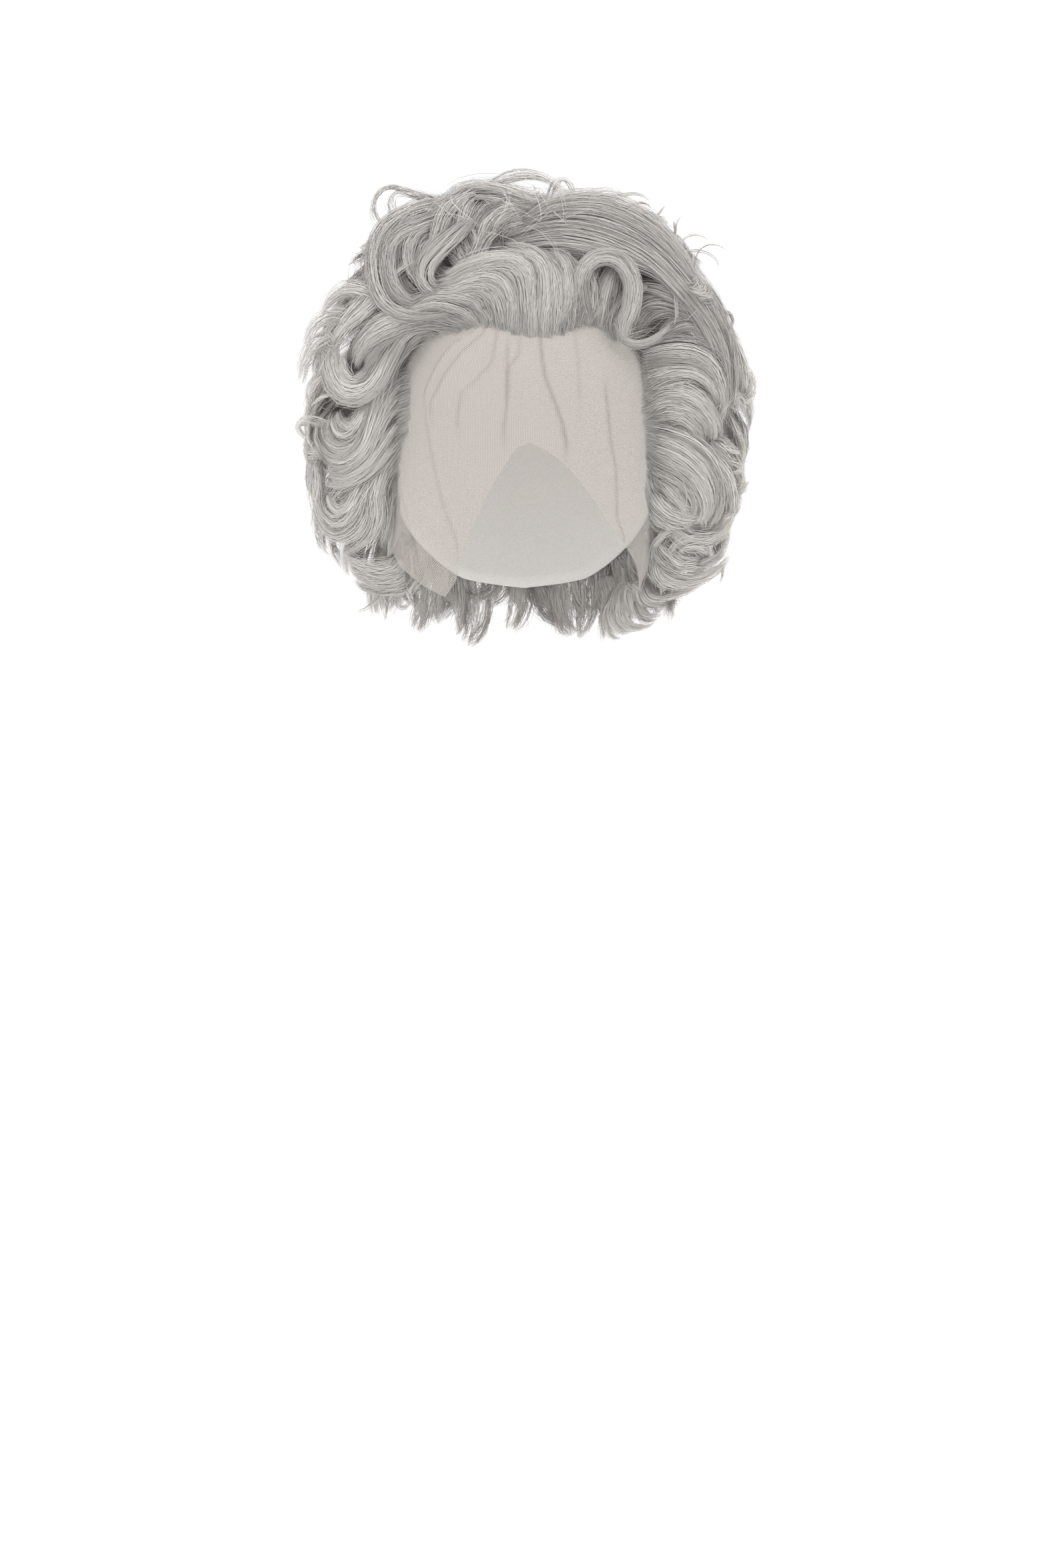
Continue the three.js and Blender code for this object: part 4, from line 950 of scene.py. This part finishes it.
# The hair on the +X side: waves tied in at the hairline that run outwards and turn back under, ending in
# hooked tips. Rows of curls sewn round the cap close the side behind them.
RIGHT_LOCKS = [
    ((22, 30, 34, 34), 12, 6, (1022, 728), (1048, 752), (1062, 780), (1056, 812)),
    ((22, 30, 34, 34), 12, 6, (1002, 738), (1026, 764), (1044, 790), (1062, 806)),
    ((3, 18, 32, 41, 45, 46, 46, 44), 9, 0, (965, 531), (990, 524), (1020, 522), (1050, 528), (1072, 546),
     (1086, 576), (1091, 610), (1084, 642)),
    ((3, 18, 32, 41, 44, 45, 44, 42), 9, 0, (964, 546), (990, 539), (1020, 536), (1048, 542), (1068, 559),
     (1080, 586), (1083, 613), (1074, 634)),
    ((3, 18, 31, 40, 43, 43, 41), 9, 0, (964, 562), (990, 553), (1020, 549), (1045, 555), (1062, 569),
     (1073, 589), (1075, 610)),
    ((3, 16, 28, 35, 36, 32), 9, 0, (964, 580), (985, 569), (1010, 563), (1035, 563), (1052, 570),
     (1062, 582)),
    ((3, 18, 33, 42, 46, 46, 44, 42), 10, 0, (964, 597), (985, 586), (1010, 583), (1035, 589), (1055, 603),
     (1070, 623), (1079, 646), (1076, 668)),
    ((3, 18, 32, 41, 44, 44, 42), 9, 0, (964, 612), (985, 602), (1010, 599), (1035, 607), (1055, 623),
     (1066, 646), (1065, 668)),
    ((3, 17, 30, 38, 41, 41, 38), 9, 0, (963, 626), (985, 616), (1005, 612), (1027, 618), (1045, 632),
     (1056, 651), (1054, 670)),
    ((20, 28, 33, 34, 32), 8, 0, (992, 634), (1012, 626), (1034, 632), (1048, 648), (1050, 666)),
    ((3, 17, 32, 42, 46, 47, 47, 46, 43), 10, 0, (965, 645), (985, 648), (1010, 656), (1035, 669),
     (1058, 689), (1075, 716), (1082, 746), (1078, 776), (1062, 798)),
    ((3, 16, 31, 41, 45, 46, 46, 44, 42), 10, 0, (967, 656), (985, 663), (1010, 673), (1035, 689),
     (1055, 711), (1067, 739), (1068, 766), (1056, 790)),
    ((3, 15, 29, 39, 44, 45, 44, 41), 10, 0, (968, 670), (985, 680), (1008, 691), (1030, 706), (1048, 727),
     (1058, 751), (1057, 774), (1044, 792)),
    ((3, 14, 27, 36, 41, 42, 40), 9, 0, (969, 685), (985, 697), (1005, 706), (1025, 719), (1040, 739),
     (1046, 760), (1040, 780)),
    ((3, 13, 25, 33, 37, 38), 9, 0, (970, 700), (985, 713), (1003, 725), (1018, 743), (1030, 762),
     (1034, 780)),
    ((34, 44, 49, 50, 49, 47), 9, 0, (1060, 672), (1080, 690), (1094, 712), (1100, 740), (1098, 766),
     (1085, 790), (1066, 804)),
    ((36, 44, 48, 48, 46), 8, 0, (1068, 660), (1086, 672), (1100, 690), (1108, 715), (1106, 745)),
    ((42, 48, 52, 52), 5, 0, (1074, 660), (1090, 672), (1104, 679), (1112, 683)),
    ((42, 50, 52, 50), 4, 0, (1088, 690), (1100, 694), (1111, 699), (1106, 708), (1096, 709)),
    ((44, 50, 52, 50), 3, 0, (1096, 716), (1106, 706), (1114, 712), (1113, 726), (1105, 736)),
    ((40, 48, 52, 52), 6, 0, (1088, 736), (1104, 737), (1115, 730), (1122, 718)),
    ((42, 48, 50, 50), 5, 0, (1080, 785), (1095, 776), (1105, 766), (1110, 756)),
    ((3, 14, 24, 31, 35, 36), 9, 0, (972, 716), (978, 736), (992, 753), (1012, 766), (1035, 773),
     (1056, 768)),
    ((3, 13, 23, 30, 34), 8, 0, (974, 736), (981, 756), (996, 771), (1016, 781), (1042, 786)),
    ((3, 12, 22, 28, 32), 7, 0, (976, 757), (986, 776), (1006, 789), (1032, 794)),
    ((6, 16, 26, 32), 6, 0, (980, 842), (988, 816), (1004, 801), (1026, 796)),
    ((26, 38, 44, 47, 48), 9, 0, (1006, 792), (1030, 810), (1060, 810), (1085, 797), (1101, 774)),
    ((20, 36, 43, 45, 43, 38), 7, 0, (1004, 834), (1020, 817), (1043, 814), (1059, 823), (1062, 836),
     (1050, 845)),
    ((10, 26, 37, 43, 47, 49, 49), 7, 0, (984, 828), (988, 858), (1005, 871), (1030, 873), (1056, 866),
     (1080, 852), (1094, 836), (1101, 827)),
    ((18, 32, 41, 46, 48, 47), 7, 0, (996, 834), (1018, 849), (1044, 851), (1070, 843), (1085, 831),
     (1090, 816)),
    ((16, 28, 36, 40, 42), 8, 0, (986, 812), (1000, 832), (1018, 844), (1040, 846), (1062, 838)),
    ((8, 16, 22, 24), 4, 0, (972, 858), (985, 868), (995, 880), (996, 893)),
    ((4, 16, 28, 37, 42, 44, 44), 6, 14, (960, 874), (969, 894), (985, 900), (1006, 896), (1030, 887),
     (1051, 875), (1064, 862)),
    ((40, 46, 46, 42), 2, 0, (1064, 864), (1082, 849), (1084, 862), (1079, 877)),
    ((4, 10, 16, 26, 32), 5, 18, (966, 842), (958, 872), (967, 900), (984, 907), (1000, 908), (1008, 899)),
    ((4, 8, 14, 24, 30), 6, 24, (960, 846), (946, 880), (949, 908), (965, 922), (985, 922), (997, 915)),
    ((4, 8, 14, 24, 30), 4, 26, (962, 850), (948, 886), (955, 920), (972, 932), (988, 928), (997, 918)),
    ((3, 7, 12, 22, 28), 7, 34, (952, 852), (932, 890), (935, 924), (950, 938), (970, 938), (986, 929)),
    ((3, 6, 10, 16, 22), 7, 40, (946, 858), (924, 896), (920, 928), (936, 944), (958, 941)),
    ((42, 48, 50, 50, 46), 3, 0, (1076, 476), (1090, 469), (1098, 481), (1094, 493), (1082, 493)),
    ((44, 52, 56, 56, 52), 7, 0, (1086, 488), (1104, 518), (1115, 546), (1117, 570), (1113, 594)),
    ((46, 54, 58, 56, 50), 6, 0, (1112, 545), (1127, 567), (1129, 587), (1118, 600), (1098, 598)),
    ((42, 50, 52, 50), 5, 0, (1094, 584), (1110, 598), (1119, 612), (1123, 627)),
    ((42, 48, 50), 4, 0, (1088, 598), (1104, 611), (1103, 625)),
    ((42, 48, 50, 50), 1.5, 0, (1094, 622), (1101, 640), (1111, 660)),
]
RIGHT_WEFTS = [
    (40, 70, 128, 5, 184, 58, -8, -26, 30, 49, 50, 24),
    (52, 76, 130, 5, 182, 58, -8, -28, 30, 51, 52, 24),
    (64, 82, 128, 5, 180, 58, -8, -30, 30, 51, 52, 24),
    (76, 84, 130, 5, 184, 56, -8, -30, 30, 51, 52, 24),
    (88, 86, 128, 5, 180, 56, -8, -32, 28, 50, 51, 24),
    (100, 95, 132, 5, 182, 54, -10, -34, 24, 46, 48, 22),
    (112, 98, 130, 5, 180, 44, -10, -36, 14, 32, 36, 22),
    (121, 92, 130, 5, 180, 36, -10, -38, 6, 22, 28, 20),
]
# painted shade: the +X side's guided locks are a little darker
right_bundles = guided_bundles(RIGHT_LOCKS, painted_shade=-0.04) + weft_bundles(RIGHT_WEFTS)
finished_hair(ribbon_mesh("hair_right_locks", right_bundles), "hair_right")

# The hair down the back: rows of curls sewn across the cap, one below the other, so that each row's locks
# overlap the roots of the next like shingles.
BACK_WEFTS = [
    (36, 138, 222, 7, 178, 58, 8, 26, 28, 48, 48, 24),
    (46, 140, 220, 7, 182, 58, 8, 28, 28, 48, 48, 24),
    (56, 138, 222, 8, 178, 58, 8, 30, 28, 48, 49, 24),
    (66, 140, 220, 8, 182, 58, 8, 30, 28, 48, 49, 24),
    (76, 138, 222, 8, 178, 58, 8, 30, 28, 47, 49, 24),
    (86, 140, 220, 8, 182, 56, 8, 32, 26, 46, 48, 24),
    (96, 138, 222, 8, 178, 52, 8, 34, 24, 42, 46, 24),
]
finished_hair(ribbon_mesh("hair_back_locks", weft_bundles(BACK_WEFTS)), "hair_back")

# The nape: shorter rows sewn above the cap's lower rim, which close over it and thin out below it. Two small
# hooks at the +X side hang lower than the rest.
NAPE_LOCKS = [
    ((3, 6, 10, 14, 16), 5, 46, (940, 862), (915, 905), (910, 938), (921, 956), (936, 957)),
    ((2, 4, 8, 10), 5, 50, (934, 866), (910, 908), (903, 945), (904, 970)),
]
NAPE_WEFTS = [
    (107, 138, 222, 8, 180, 50, 8, 34, 18, 36, 40, 24),
    (115, 138, 222, 8, 180, 44, 8, 36, 12, 28, 34, 22),
    (123, 136, 224, 9, 180, 38, 8, 40, 6, 20, 26, 20),
    (130, 134, 226, 10, 180, 24, 8, 44, 3, 12, 16, 18),
    (125, 104, 256, 17, 180, 28, 22, 56, 3, 8, 10, 18),
]
nape_bundles = guided_bundles(NAPE_LOCKS) + weft_bundles(NAPE_WEFTS)
finished_hair(ribbon_mesh("hair_nape_locks", nape_bundles), "hair_nape")

# Single hairs that stand away from the dressed hair all round. Each is thin and curled, rooted among the
# locks and let loose by the brushing.
LOOSE_CLEARANCE = 26

# azimuth, polar angle
HAIR_EDGE = [
    (0, 60), (24, 58), (44, 57), (55, 66), (60, 86), (66, 106), (76, 121), (92, 129), (130, 132),
    (155, 136), (180, 137),
]


def loose_strands(count):
    """Curls of one or two strands at places drawn all over the head, clear of the hair's edge."""
    bundles = []
    for _ in range(count):
        polar = math.degrees(math.acos(chance.uniform(-0.55, 1)))
        az = chance.uniform(-180, 180)
        if polar > along_edge(HAIR_EDGE, az) - LOOSE_CLEARANCE:
            continue
        row = (polar, az, az, 1, chance.uniform(0, 360), chance.uniform(20, 44), chance.uniform(4, 20),
               chance.uniform(20, 60), 38, 48, chance.uniform(48, 57), 1.5)
        bundles.append(weft_strands(row, number=0, per_width=1.4))
    return bundles


finished_hair(ribbon_mesh("hair_loose_strands", loose_strands(2000)))

# Short hair tied behind the hairline, painted dark as shade. It fills the room under the front and
# crown locks, and shows only as shade between them.
FILLING_WEFTS = [
    (36, -46, 46, 6, 6, 44, 4, 14, 8, 14, 16, 24),
    (34, -62, -26, 3, 0, 40, 4, 14, 14, 28, 30, 24),
]
filling_bundles = weft_bundles(FILLING_WEFTS, per_width=5, painted_shade=-0.25)
finished_hair(ribbon_mesh("hair_filling_wefts", filling_bundles))

# The stage: a wide pale floor well below the wig, an even white surround and large soft lights. The camera
# stands level in front, where the guided locks are sighted from.
bpy.ops.object.select_all(action="DESELECT")
bpy.ops.mesh.primitive_plane_add(size=60, location=(0, 0, -1.6))
floor = bpy.context.object
floor.name = "floor"
floor_paint, nodes, links, shader = finish_named("floor paint", 0.9)
shader.inputs["Base Color"].default_value = (0.95, 0.95, 0.945, 1)
floor.data.materials.append(floor_paint)

world = bpy.data.worlds.new("white surround")
world.use_nodes = True
world.node_tree.nodes["Background"].inputs["Color"].default_value = (1.0, 0.997, 0.99, 1)
world.node_tree.nodes["Background"].inputs["Strength"].default_value = 1.08
bpy.context.scene.world = world

# place, aim, size, power
LIGHTS = [
    ((-1.3, -1.6, 1.1), (0, 0, -0.1), 1.2, 12), ((1.4, -1.5, 0.9), (0, 0, -0.1), 1.2, 9),
    ((0.0, 0.9, 1.5), (0, 0, 0), 1.4, 8),
]
for number, (spot, aim, size, power) in enumerate(LIGHTS):
    bpy.ops.object.light_add(type="AREA", location=spot)
    light = bpy.context.object
    light.name = "soft_light_%d" % number
    light.data.size = size
    light.data.energy = power
    away = np.array(spot) - np.array(aim)
    light.rotation_euler = (math.atan2(math.hypot(away[0], away[1]), away[2]), 0,
                            math.atan2(away[1], away[0]) + math.pi / 2)

bpy.ops.object.camera_add(location=EYE * MM, rotation=(math.pi / 2, 0, 0))
camera = bpy.context.object
camera.data.sensor_width = 36
camera.data.lens = 109.7
bpy.context.scene.camera = camera
bpy.context.scene.view_settings.view_transform = "Standard"
